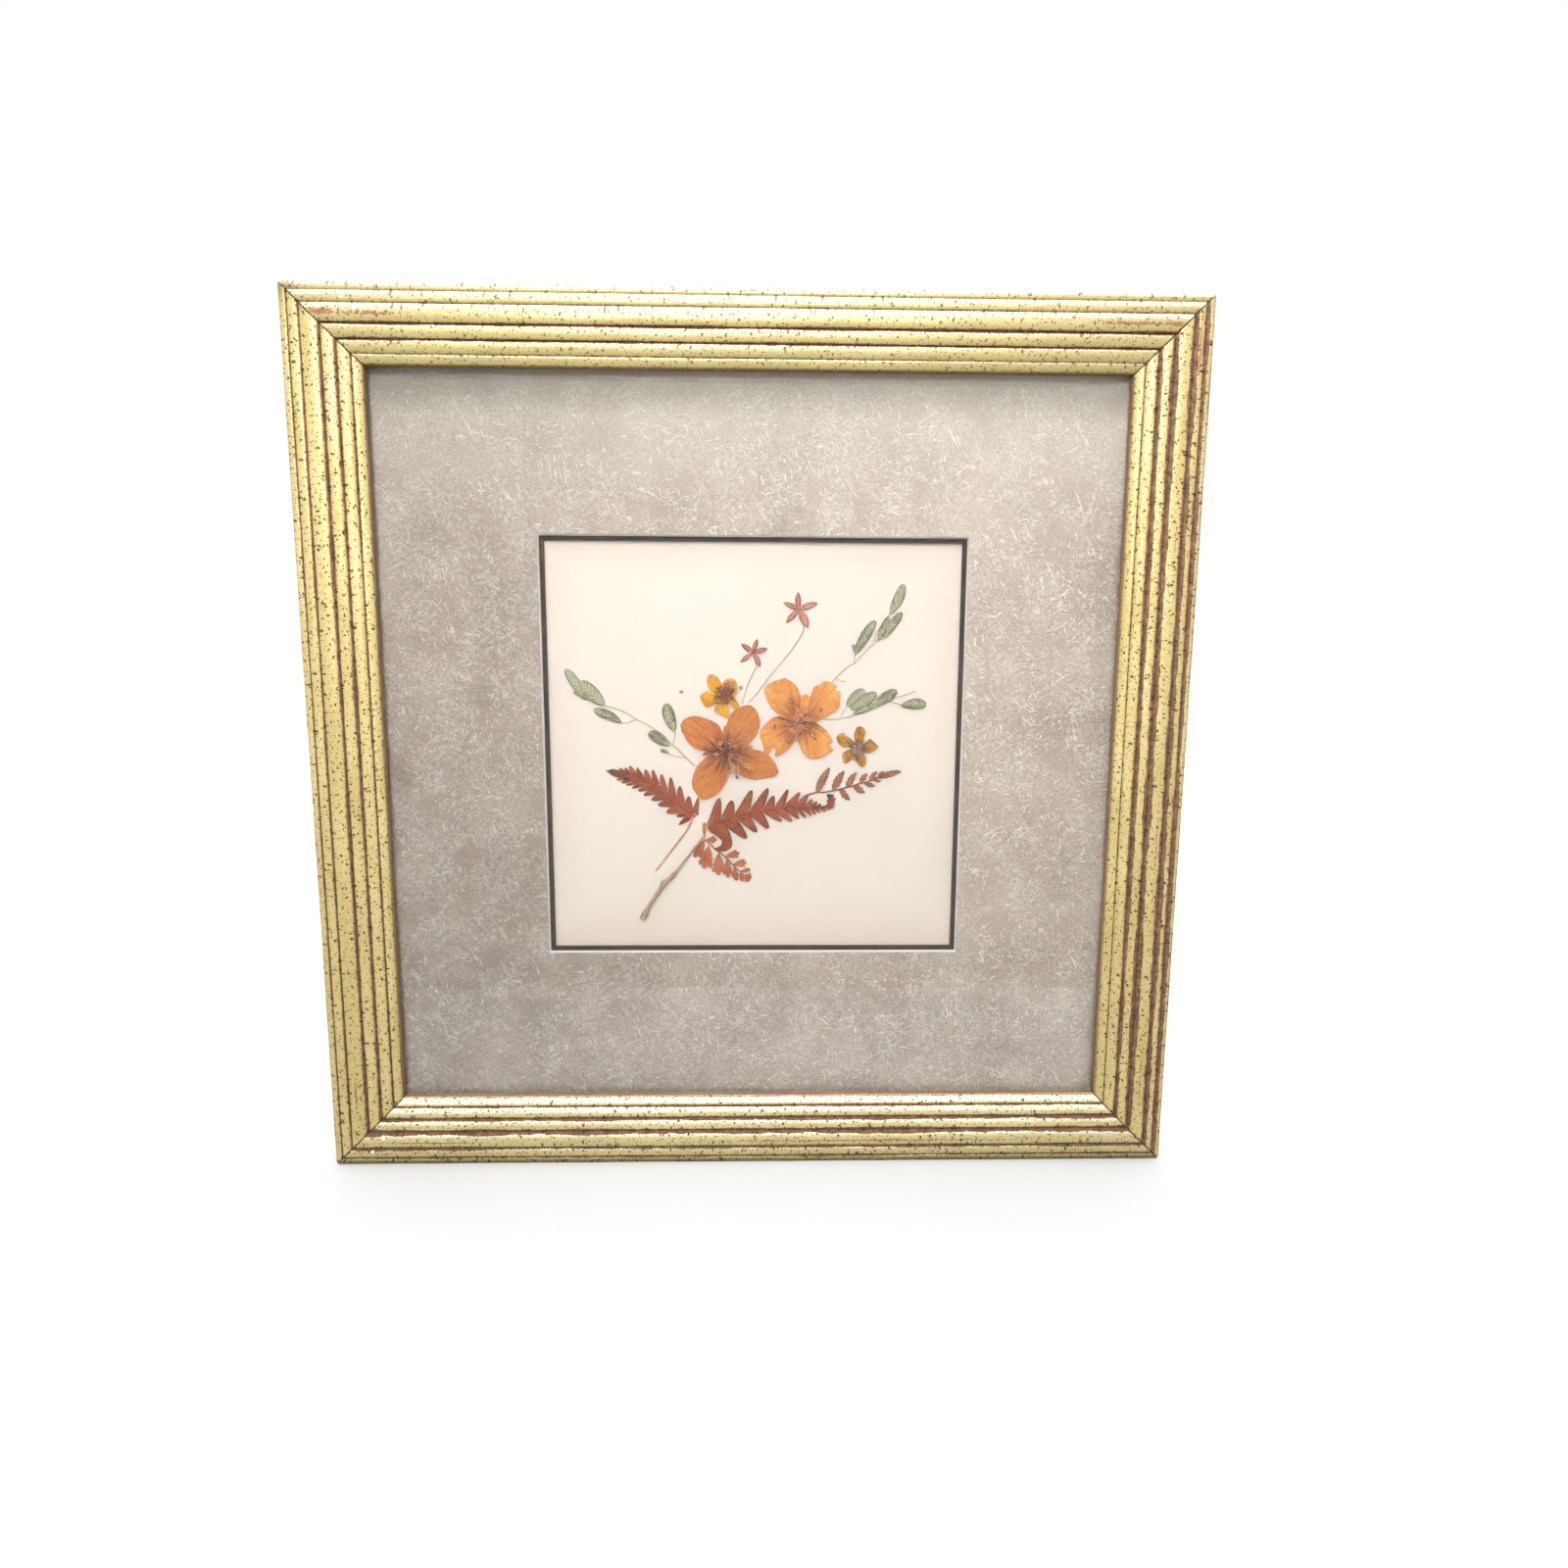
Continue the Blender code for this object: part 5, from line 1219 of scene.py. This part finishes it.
def anther(shells, centre, radius, depth, finish, seed):
    """Add a crumpled anther: a tube around a flat ring, which is three quarters as high as it is
    wide and whose radius swings by a sine three times around."""
    rng = np.random.default_rng(seed)
    turn = np.linspace(0, 2 * np.pi, 26)
    wobble = 1 + 0.08 * np.sin(turn * 3 + rng.random() * 6)
    flat = np.array(centre) + radius * np.stack([np.cos(turn) * wobble,
                                                 0.75 * np.sin(turn) * wobble], 1)
    path = placed(flat, depth + 0.00008 * np.sin(turn * 2))
    shells.add(*strand(path, radius * 0.34 * MM, sides=7), rng.random(), finish)


def add_thread(shells, points, radius, depth, finish, tone):
    """Add one fine thread through flat millimetre points, which arches off the petals."""
    path = smooth_path(points, 8 * len(points))
    lift = depth - 0.00022 * np.sin(np.linspace(0, np.pi, len(path)))
    shells.add(*strand(placed(path, lift), radius, sides=6), tone, finish)


def build_stamens(name, hub, anthers, depth, radius, thread, materials, slot, seed, loose,
                  extra=()):
    """Build the stamens of one flower.

    A thread sways from the hub to each anther, loose threads curl around the hub, and extra
    holds further threads as (finish, radius, points).
    """
    shells = Shells()
    rng = np.random.default_rng(seed)
    hub = np.array(hub)
    for i, place in enumerate(anthers):
        end = np.array(place)
        axis = end - hub
        normal = np.array([-axis[1], axis[0]]) * rng.uniform(-0.22, 0.22)
        start = hub + rng.normal(0, 0.4, 2)
        points = [start, start + axis * 0.35 + normal, start + axis * 0.7 - normal * 0.5, end]
        add_thread(shells, points, thread * rng.uniform(0.8, 1.2), depth - 0.00003 * (i % 3), 0,
                   rng.random())
        anther(shells, place, radius * rng.uniform(0.75, 1.15), depth - 0.00016, 1, seed + i)
    for i in range(loose):
        angle = rng.uniform(0, 2 * np.pi)
        toward = np.array([math.cos(angle), math.sin(angle)]) * rng.uniform(1.2, 4.2)
        side = np.array([-toward[1], toward[0]]) * rng.uniform(-0.45, 0.45)
        add_thread(shells, [hub, hub + toward * 0.4 + side, hub + toward * 0.8 - side * 0.4,
                            hub + toward], thread * 0.85, depth + 0.00005, (i % 3) and 2,
                   rng.random())
    for i, (finish, wide, points) in enumerate(extra):
        add_thread(shells, points, wide * MM, depth - 0.00004 * i / len(extra), finish, 0.5)
    anther(shells, hub, radius * 1.1, depth - 0.00022, 2, seed + 90)
    anther(shells, hub + (0.5, -0.5), radius * 0.7, depth - 0.00026, 2, seed + 91)
    return shells.piece(name + "_stamens", materials, (), slot)


def build_open_flowers(settings):
    """Build the four open flowers and their stamens."""
    orange = petal("orange_petal", (186, 102, 46), settings.orange, (216, 144, 80),
                   (172, 104, 56), (152, 80, 42), (112, 58, 52), 0.50, 26.0, 0.42)
    amber = petal("amber_petal", (214, 126, 58), settings.amber, (236, 178, 92),
                  (206, 134, 70), (186, 100, 52), (158, 82, 54), 0.62, 14.0, 0.35, 0.22)
    yellow = petal("yellow_petal", (204, 126, 32), settings.yellow, (236, 182, 66),
                   (184, 118, 36), (184, 104, 26), (124, 68, 38), 0.46, 9.0, 0.4)
    brown = petal("brown_petal", (170, 104, 34), (206, 146, 54), (228, 178, 80),
                  (92, 62, 30), (128, 72, 32), (94, 60, 50), 0.62, 9.0, 0.6)
    build_flower("flower_large_right", LARGE_RIGHT_PETALS, RIGHT_HUB, FLOWER_LAYER, 0.4, amber,
                 "amber_petal", 3, (0.7, 0.9, 0.5, 0.6, 0.0))
    build_flower("flower_small_upper", SMALL_UPPER_PETALS, UPPER_HUB, FLOWER_LAYER, 0.35, yellow,
                 "yellow_petal", 5, (0.8, 0.5, 0.6, 0.4, 0.5))
    build_flower("flower_small_right", SMALL_RIGHT_PETALS, SMALL_HUB, FLOWER_LAYER, 0.35, brown,
                 "brown_petal", 6, (0.5, 0.6, 0.3, 0.5, 0.7))
    build_flower("flower_large_left", LARGE_LEFT_PETALS, LEFT_HUB, LEFT_FLOWER_LAYER, 0.75,
                 orange, "orange_petal", 2, (0.2, 0.6, 0.4, 0.5), LEFT_SLIVERS)
    pink_thread = stalk("pink_thread", (166, 100, 76), (222, 168, 132))
    tan_anther = stalk("tan_anther", (176, 108, 70), (226, 164, 114))
    dark_anther = stalk("dark_anther", (92, 52, 42), (146, 92, 68))
    large = [pink_thread, tan_anther, dark_anther]
    build_stamens("flower_large_left", LEFT_HUB, LEFT_ANTHERS, -0.00045, 0.78, 0.00011, large,
                  "orange_petal", 11, 14, LEFT_THREADS)
    build_stamens("flower_large_right", RIGHT_HUB, RIGHT_ANTHERS, -0.00005, 0.68, 0.00016, large,
                  "amber_petal", 12, 26, RIGHT_THREADS)
    build_stamens("flower_small_upper", UPPER_STAMEN_HUB, UPPER_ANTHERS, 0.0, 0.55, 0.00016,
                  [dark_anther, tan_anther, dark_anther], "yellow_petal", 13, 30, UPPER_THREADS)
    grey_thread = stalk("grey_thread", (112, 78, 70), (204, 180, 166))
    build_stamens("flower_small_right", SMALL_HUB, SMALL_ANTHERS, 0.0, 0.46, 0.00010,
                  [grey_thread, grey_thread, dark_anther], "brown_petal", 14, 26)


def build_star_flowers():
    """Build the two star flowers: five pointed petals and a thread-like stem."""
    pink = leaf("pink_petal", (150, 78, 64), (176, 104, 86), (206, 146, 124), (92, 58, 52), 0.0,
                (214, 152, 130), tip_share=0.85)
    pale = stalk("pale_stem", (178, 150, 116), (222, 204, 172))
    heart = stalk("star_heart", (96, 56, 40), (150, 96, 66))
    for seed, (name, (centre, petals), stem) in enumerate((
            ("star_flower_tall", TALL_STAR, TALL_STAR_STEM),
            ("star_flower_short", SHORT_STAR, SHORT_STAR_STEM))):
        shells = Shells()
        for i, (tip, width) in enumerate(petals):
            centre_point, tip_point = np.array(centre), np.array(tip)
            base = centre_point - (tip_point - centre_point) * 0.08
            edges = blade_edges(base, tip, width * 1.08, base_taper=0.7, tip_taper=0.55,
                                bend=0.15 * (-1) ** i)
            add_blade(shells, edges, STAR_LAYER - i * 0.00005,
                      pressed(0.05, 0.06, seed=seed + i), 0.15 + 0.17 * i, PETAL_THICKNESS, 14)
        add_stem(shells, 0.36, stem, STEM_LAYER, 1, seed)
        for i in range(3):
            anther(shells, np.array(centre) + (0.25 * i - 0.25, 0.1 * i), 0.26, 0.00092, 2, 40 + i)
        shells.piece(name + "_petals", [pink, pale, heart], (name,), "pink_petal")


def build_leaf_sprays():
    """Build the three grey-green sprays of toothed leaves."""
    green = leaf("grey_leaf", (122, 120, 94), (152, 149, 120), (198, 194, 162), (98, 94, 76),
                 11.0, (196, 190, 158), fold_share=0.45)
    pale = stalk("spray_stem", (178, 164, 130), (220, 208, 178))
    for seed, (name, stems, leaves) in enumerate((
            ("leaf_spray_left", LEFT_STEMS, LEFT_LEAVES),
            ("leaf_spray_upper", UPPER_STEMS, UPPER_LEAVES),
            ("leaf_spray_right", RIGHT_STEMS, RIGHT_LEAVES))):
        shells = Shells()
        rng = np.random.default_rng(30 + seed)
        for i, (width, points) in enumerate(stems):
            add_stem(shells, width * 0.8, points, SPRAY_STEM_LAYER, 1, seed * 10 + i)
        for i, (base, tip, width) in enumerate(leaves):
            smooth_leaf = name == "leaf_spray_left" and i < 2
            pale_leaf = smooth_leaf or (name == "leaf_spray_right" and i < 2) or (
                name == "leaf_spray_upper" and i == 3)
            length = math.dist(base, tip)
            edges = blade_edges(base, tip, width * 1.16, teeth=int(length / 0.95),
                                tooth=0.10 if smooth_leaf else 0.30, bend=rng.uniform(-0.4, 0.4),
                                count=150)
            relief = pressed(0.06, 0.05, length / 0.95, seed * 20 + i)
            add_blade(shells, edges, SPRAY_LAYER - i * 0.00004, relief,
                      0.95 if pale_leaf else rng.uniform(0.0, 0.30), sides=20)
        shells.piece(name + "_leaves", [green, pale], (name,), "grey_leaf")


def tongue(first, last, tip, root_share=0.45, teeth=6, tooth=0.10):
    """Return the two edges of a fern lobe with a round, finely toothed end.

    The half width at the share f of the way is (0.44 + 0.68 (1 - f)) sqrt(1 - f^8) of half
    the notches' distance.
    """
    first, last, tip = (np.array(p, float) for p in (first, last, tip))
    root = (first + last) / 2
    axis = tip - root
    length = np.linalg.norm(axis)
    axis /= length
    normal = np.array([-axis[1], axis[0]])
    half = 0.48 * abs(np.dot(last - first, normal))
    share = np.sin(np.linspace(0, np.pi / 2, 44))
    start = root - axis * half * root_share * 2
    reach = share * (length + half * root_share * 2)
    f = np.clip((reach - half * root_share * 2) / length, 0, 1)
    width = half * (0.44 + 0.68 * (1 - f)) * np.sqrt(1 - f ** 8) * smooth(share, -0.25, 0.08)
    edges = []
    for side, phase in ((1, 0.2), (-1, 0.7)):
        step = (f * teeth + phase) % 1.0
        edge = width * (1 - tooth * (1 - step) * (f > 0))
        edges.append(start + axis * reach[:, None] + side * normal * edge[:, None])
    for edge in edges:
        edge[0] = start
        edge[-1] = tip
    return edges


def add_lobed_fern(shells, upper, lower, end, depth, seed):
    """Add a fern frond: a web between the notches, a lobe in each gap and a raised midrib."""
    count = 90
    lines = [smooth_path(notches, count) for notches, _ in (upper, lower)]
    middle = (lines[0] + lines[1]) / 2
    taper = np.minimum(1, np.linspace(0, 14, count))[:, None]
    edges = []
    for line, bow in zip(lines, (0.5, -0.5)):
        edge = middle + (line - middle) * taper
        to_end = smooth_path([edge[-1], (edge[-1] + end) / 2 + (0.0, bow), end], 12)
        edges.append(np.vstack([edge, to_end[1:]]))
    points, faces, pattern = band(*edges, depth - 0.00006, LEAF_THICKNESS,
                                  pressed(0.07, 0.05, seed=seed), 18)
    pattern[:, 2] = 0.0
    shells.add(points, faces, pattern, 0.4)
    rng = np.random.default_rng(seed)
    for notches, tips in (upper, lower):
        for i, (first, last, tip) in enumerate(zip(notches, notches[1:], tips)):
            relief = pressed(0.08, 0.05, seed=seed * 40 + i)
            add_blade(shells, tongue(first, last, tip), depth + 0.00003 - 0.00005 * (i % 3),
                      relief, rng.uniform(0.2, 0.8))
    rib = np.vstack([middle, [end]])
    path = placed(evenly(rib, 60), depth - 0.00012)
    shells.add(*strand(path, np.linspace(0.00032, 0.00012, 60), sides=10, flatness=0.5), 0.5, 1)


def fill_outline(shells, points, depth, tone, seed):
    """Add a small odd-shaped scrap from its outline."""
    outline = smooth_loop(points, 110)
    hub = np.array(points[0], float)
    relief = petal_relief(seed, 0.0, 20)
    shells.add(*disc(outline, hub, depth, LEAF_THICKNESS, relief, rings=10), tone)


def build_ferns():
    """Build the two lobed ferns and the fern with leaflets."""
    red = leaf("red_fern", (114, 54, 36), (142, 68, 44), (166, 90, 60), (88, 64, 52), 0.0,
               (140, 70, 48), tip_share=0.8, edge_from=0.25)
    rib = stalk("fern_rib", (124, 60, 42), (156, 86, 62))
    stem = stalk("fern_stem", (176, 128, 100), (222, 182, 150))
    brown = leaf("brown_fern", (132, 76, 56), (158, 96, 74), (180, 122, 94), (102, 76, 58), 5.0,
                 (180, 120, 92), fold_share=0.35, tip_share=0.4)

    left = Shells()
    add_lobed_fern(left, LEFT_FERN_UPPER, LEFT_FERN_LOWER, LEFT_FERN_END, FERN_LAYER, 4)
    add_stem(left, *LEFT_FERN_STEM, SPRAY_LAYER, 2, 3)
    left.piece("fern_left_frond", [red, rib, stem], ("fern_left",), "red_fern")

    centre = Shells()
    add_lobed_fern(centre, CENTRE_FERN_UPPER, CENTRE_FERN_LOWER, CENTRE_FERN_END, FLOWER_LAYER, 9)
    add_hook(centre, 0.00088)
    fill_outline(centre, CENTRE_FERN_CURL, 0.00075, 0.3, 12)
    centre.piece("fern_centre_frond", [red, rib], ("fern_centre",), "red_fern")

    right = Shells()
    add_stem(right, *RIGHT_FERN_STEM, SPRAY_LAYER, 1, 5)
    for i, (base, tip, width) in enumerate(RIGHT_FERN_LEAFLETS):
        length = math.dist(base, tip)
        edges = blade_edges(base, tip, width * 1.25, base_taper=0.0, tip_taper=0.25,
                            teeth=max(3, int(length / 1.35)), tooth=0.42,
                            bend=0.25 if i < 7 else -0.2, count=84)
        relief = pressed(0.06, 0.05, length / 1.35, 60 + i)
        add_blade(right, edges, FERN_LAYER - 0.00004 * (i % 3), relief, 0.3 + 0.06 * i)
    right.piece("fern_right_frond", [brown, rib], ("fern_right",), "brown_fern")


def add_hook(shells, depth):
    """Add the broad lowest lobe of the centre fern."""
    left, right = (smooth_path(edge, 48) for edge in CENTRE_FERN_HOOK)
    left[0] = right[0] = (left[0] + right[0]) / 2
    add_blade(shells, (left, right), depth, pressed(0.07, 0.05, seed=77), 0.45, 0.00017)


def build_cut_leaf():
    """Build the rust-coloured leaf, whose wedge leaflets have notched round ends.

    A notch cuts in by 0.30 (1 - |cos|)^1.6 of the way from the edge to the leaflet's middle,
    where the cosine is that of the angle around the middle times the number of lobes.
    """
    rust = petal("rust_leaf", (164, 88, 58), (184, 108, 70), (204, 134, 84),
                 (128, 84, 60), (150, 78, 50), (150, 86, 60), 0.10, 9.0, 0.5)
    rib = stalk("rust_stem", (140, 88, 64), (186, 134, 102))
    shells = Shells()
    add_stem(shells, *CUT_LEAF_STEM, STEM_LAYER, 1, 8)
    for i, (base, tip, width) in enumerate(CUT_LEAF_LEAFLETS):
        left, right = blade_edges(base, tip, width * 1.22, base_taper=0.8, count=120)
        loop = evenly(np.vstack([left, right[-2:0:-1], left[:1]]), 169)[:-1]
        base_point, tip_point = np.array(base), np.array(tip)
        axis = tip_point - base_point
        middle = base_point + axis * 0.45
        spoke = loop - middle
        turn = np.arctan2(axis[0] * spoke[:, 1] - axis[1] * spoke[:, 0], spoke @ axis)
        lobes = 5 if width > 2.3 else 3
        notch = 1 - np.abs(np.cos(turn * lobes * 1.05 + (i % 2) * 0.3))
        cut = smooth(np.abs(turn), 2.1, 1.5) * 0.30 * notch ** 1.6
        loop = loop - spoke * cut[:, None]
        relief = petal_relief(90 + i, 0.0, 26)
        shells.add(*disc(loop, base_point, FERN_LAYER - 0.00004 * (i % 4), 0.00015, relief,
                         rings=10), 0.2 + 0.05 * i)
    shells.piece("cut_leaf_leaflets", [rust, rib], ("cut_leaf",), "rust_leaf")


def build_twig():
    """Build the knotted twig, a tube pushed out by noise in ridges and knots, and the loose
    specks, flat tubes whose radius is a sine along them."""
    material = bark()
    points = np.array([(x, y, radius) for (x, y), radius in TWIG])
    fine = smooth_path(points, 220)
    flat, radius = fine[:, :2], fine[:, 2] * MM
    lift = CARD_FACE - 0.0003 - np.minimum(radius, 0.0011)
    path = placed(flat, lift)
    sides = 24
    surface, faces, pattern = strand(path, radius, sides)
    angle = np.arctan2(pattern[:, 1], 1.0) * 3
    ridge = unevenness(pattern[:, 0] / 2.2, angle * 2 + pattern[:, 2] * 3, 3) * 0.00009
    knots = unevenness(pattern[:, 0] / 0.8, angle * 2, 8) * 0.00005
    centre = placed(np.vstack([np.repeat(flat, sides, axis=0), flat[[0, -1]]]),
                    np.append(np.repeat(lift, sides), lift[[0, -1]]))
    outward = surface - centre
    outward /= np.maximum(np.linalg.norm(outward, axis=1), 1e-9)[:, None]
    surface = surface + outward * (ridge + knots)[:, None]
    shells = Shells()
    shells.add(surface, faces, pattern)
    shells.piece("twig_wood", [material], ("twig",), "twig_bark")
    for name, (x, y) in LOOSE_SPECKS.items():
        flat = smooth_path([(x - 0.75, y + 0.25), (x, y), (x + 0.8, y - 0.3)], 16)
        share = np.linspace(0, np.pi, len(flat))
        shells = Shells()
        shells.add(*strand(placed(flat, FERN_LAYER), 0.00008 + 0.0005 * np.sin(share), sides=12,
                           flatness=0.35))
        shells.piece(name + "_seed", [material], (name,), "twig_bark")


# ---- The stage

def light_surroundings(world, settings):
    """Make the surroundings white behind the frame, dimmer in front and brighter overhead."""
    sky = Recipe(world, {"Color": (1.0, 1.0, 1.0, 1)}, "Background")
    _, y, z = sky.split(sky.add("TexCoord", {}).outputs["Generated"])
    around = sky.fade(y, -0.25, 0.20, settings.front, settings.surroundings)
    overhead = sky.fade(z, 0.52, 0.90, 0.0, settings.overhead)
    sky.feed(sky.shader, "Strength", sky.plus(around, overhead))


def put(name, data, location=(0.0, 0.0, 0.0), degrees=(0.0, 0.0, 0.0)):
    """Put an object in the scene, turned by degrees around X, Y and Z."""
    item = bpy.data.objects.new(name, data)
    item.location = location
    item.rotation_euler = [math.radians(angle) for angle in degrees]
    bpy.context.scene.collection.objects.link(item)
    return item


def build_studio(settings):
    """Put in the floor, the lights, the white surroundings and the camera."""
    half, front = 4.0, -0.17
    mesh = bpy.data.meshes.new("floor")
    mesh.from_pydata([(-half, front, 0), (half, front, 0), (half, half, 0), (-half, half, 0)], [],
                     [(0, 1, 2, 3)])
    pale = Recipe("pale_floor", {"Roughness": 0.9})
    # Painted shadow: the floor is darker near the frame.
    far = pale.fade(pale.distance(pale.place(), (0, 0, 0)), 0.10, 0.60)
    pale.coated = pale.blend(far, FLOOR_NEAR, FLOOR_FAR)
    mesh.materials.append(pale.finished())
    floor = put("floor", mesh)

    world = bpy.data.worlds.new("studio")
    bpy.context.scene.world = world
    light_surroundings(world, settings)

    lamp = bpy.data.lights.new("soft_lamp", "AREA")
    lamp.energy = settings.lamp
    lamp.size = 0.20
    lamp.spread = math.radians(60)
    put("soft_lamp", lamp, (-0.05, -0.70, 0.56), (66, 0, -4))

    camera = bpy.data.cameras.new("camera")
    camera.lens = 22.5
    camera.sensor_width = 36.0
    camera.clip_start = 0.01
    bpy.context.scene.camera = put("camera", camera, (0.00276, -0.33306, 0.18509),
                                   (81.353, -0.331, -1.366))
    bpy.context.scene.view_settings.view_transform = "Standard"


# ---- The add-on

def shade(name, description, color):
    return FloatVectorProperty(name=name, description=description, subtype="COLOR", min=0.0,
                               max=1.0, default=tint(*color)[:3])


def amount(name, description, default, low=0.0, **limits):
    return FloatProperty(name=name, description=description, default=default, min=low, **limits)


class MouldingSettings(bpy.types.PropertyGroup):
    gold: shade("Gold", "The gold leaf's main colour", (204, 198, 133))
    gold_pale: shade("Pale gold", "The leaf where it is cleanest", (222, 219, 160))
    gold_deep: shade("Deep gold", "The leaf where it is thickest", (180, 173, 100))
    clay: shade("Clay", "The red clay under the leaf", (116, 84, 62))
    unevenness: amount("Unevenness", "How hand-made the gesso looks", 1.0, max=3.0)
    corner_radius: amount("Corner wear", "Radius of the worn corners", 0.0014, 0.0001,
                          max=0.004, unit="LENGTH")


class SheetSettings(bpy.types.PropertyGroup):
    mat: shade("Mat", "The parchment's main colour", (198, 177, 162))
    mat_light: shade("Light clouds", "The parchment's light clouds", (215, 197, 180))
    mat_dark: shade("Dark clouds", "The parchment's dark clouds", (175, 156, 141))
    card: shade("Card", "The card behind the bouquet", (247, 233, 222))


class PlantSettings(bpy.types.PropertyGroup):
    orange: shade("Orange petals", "The large left flower", (200, 121, 57))
    amber: shade("Amber petals", "The large right flower", (222, 150, 80))
    yellow: shade("Yellow petals", "The small upper flower", (222, 156, 46))


class StudioSettings(bpy.types.PropertyGroup):
    surroundings: amount("Surroundings", "Light from all around", 1.0)
    front: amount("Front", "Light from the camera's side", 0.30)
    overhead: amount("Overhead", "Extra light from above", 1.3)
    lamp: amount("Soft lamp", "Light on the picture's front", 1.7, unit="POWER")


class FrameSettings(bpy.types.PropertyGroup):
    moulding: PointerProperty(type=MouldingSettings)
    sheets: PointerProperty(type=SheetSettings)
    plants: PointerProperty(type=PlantSettings)
    studio: PointerProperty(type=StudioSettings)


def window_of(node, widening=0.0):
    """Return the middle of a mat's window and half its side, widened, from the mat's own mesh."""
    places = np.array([(v.co.x, v.co.z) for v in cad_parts[node].data.vertices])
    inner = places[np.abs(places[:, 0]) < 0.1]
    low, high = inner.min(0), inner.max(0)
    return (low + high) / 2, (high[0] - low[0]) / 2 + widening


def paint(node, material):
    """Give a CAD node its finish."""
    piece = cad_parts[node]
    if not piece.material_slots:
        piece.data.materials.append(material)
    for slot in piece.material_slots:
        slot.material = material


class PRESSED_OT_moulding(bpy.types.Operator):
    """Build the four gilt rails"""
    bl_idname = "pressed_flowers.moulding"
    bl_label = "Gilt moulding"

    def execute(self, context):
        build_moulding(context.scene.pressed_flowers.moulding)
        return {"FINISHED"}


class PRESSED_OT_sheets(bpy.types.Operator):
    """Finish the glass, the two mats, the card and the backing board"""
    bl_idname = "pressed_flowers.sheets"
    bl_label = "Glass, mats and card"

    def execute(self, context):
        settings = context.scene.pressed_flowers.sheets
        paint("glass", clear_glass())
        paint("mat", parchment(settings, window_of("mat", widening=-0.00004)))
        paint("liner_mat", board("black_liner", (54, 42, 34), (78, 62, 52), 700))
        paint("card", cream_card(settings, window_of("liner_mat")))
        paint("backing_board", board("grey_board", (120, 112, 100), (166, 156, 142), 400))
        return {"FINISHED"}


class PRESSED_OT_back(bpy.types.Operator):
    """Finish the dust cover and the hanger"""
    bl_idname = "pressed_flowers.back"
    bl_label = "Closed back"

    def execute(self, context):
        paint("dust_cover", kraft_paper())
        metal = brass()
        for node in ("hanger", "hanger_nail_left", "hanger_nail_right"):
            paint(node, metal)
        return {"FINISHED"}


class PRESSED_OT_open_flowers(bpy.types.Operator):
    """Build the four open flowers"""
    bl_idname = "pressed_flowers.open_flowers"
    bl_label = "Open flowers"

    def execute(self, context):
        build_open_flowers(context.scene.pressed_flowers.plants)
        return {"FINISHED"}


class PRESSED_OT_star_flowers(bpy.types.Operator):
    """Build the two star flowers"""
    bl_idname = "pressed_flowers.star_flowers"
    bl_label = "Star flowers"

    def execute(self, context):
        build_star_flowers()
        return {"FINISHED"}


class PRESSED_OT_leaf_sprays(bpy.types.Operator):
    """Build the grey-green leaf sprays"""
    bl_idname = "pressed_flowers.leaf_sprays"
    bl_label = "Leaf sprays"

    def execute(self, context):
        build_leaf_sprays()
        return {"FINISHED"}


class PRESSED_OT_ferns(bpy.types.Operator):
    """Build the ferns and the cut leaf"""
    bl_idname = "pressed_flowers.ferns"
    bl_label = "Ferns"

    def execute(self, context):
        build_ferns()
        build_cut_leaf()
        return {"FINISHED"}


class PRESSED_OT_twig(bpy.types.Operator):
    """Build the twig and the loose specks"""
    bl_idname = "pressed_flowers.twig"
    bl_label = "Twig and specks"

    def execute(self, context):
        build_twig()
        return {"FINISHED"}


class PRESSED_OT_studio(bpy.types.Operator):
    """Put in the floor, the lights and the camera"""
    bl_idname = "pressed_flowers.studio"
    bl_label = "Studio"

    def execute(self, context):
        build_studio(context.scene.pressed_flowers.studio)
        return {"FINISHED"}


class PRESSED_PT_panel(bpy.types.Panel):
    """The frame's steps and settings"""
    bl_idname = "PRESSED_PT_panel"
    bl_label = "Pressed flower frame"
    bl_space_type = "VIEW_3D"
    bl_region_type = "UI"
    bl_category = "Pressed Flowers"

    def draw(self, context):
        settings = context.scene.pressed_flowers
        for step in STEPS:
            self.layout.operator(step.bl_idname)
        for group in (settings.moulding, settings.sheets, settings.plants, settings.studio):
            box = self.layout.box()
            for name in group.__annotations__:
                box.prop(group, name)


STEPS = (PRESSED_OT_studio, PRESSED_OT_moulding, PRESSED_OT_sheets, PRESSED_OT_back,
         PRESSED_OT_open_flowers, PRESSED_OT_star_flowers, PRESSED_OT_leaf_sprays,
         PRESSED_OT_ferns, PRESSED_OT_twig)
CLASSES = (MouldingSettings, SheetSettings, PlantSettings, StudioSettings,
           FrameSettings) + STEPS + (PRESSED_PT_panel,)


def register():
    for cls in CLASSES:
        bpy.utils.register_class(cls)
    bpy.types.Scene.pressed_flowers = PointerProperty(type=FrameSettings)


def unregister():
    del bpy.types.Scene.pressed_flowers
    for cls in reversed(CLASSES):
        bpy.utils.unregister_class(cls)


def main():
    register()
    bpy.ops.pressed_flowers.studio()
    bpy.ops.pressed_flowers.moulding()
    bpy.ops.pressed_flowers.sheets()
    bpy.ops.pressed_flowers.back()
    bpy.ops.pressed_flowers.open_flowers()
    bpy.ops.pressed_flowers.star_flowers()
    bpy.ops.pressed_flowers.leaf_sprays()
    bpy.ops.pressed_flowers.ferns()
    bpy.ops.pressed_flowers.twig()


if __name__ == "__main__":
    main()
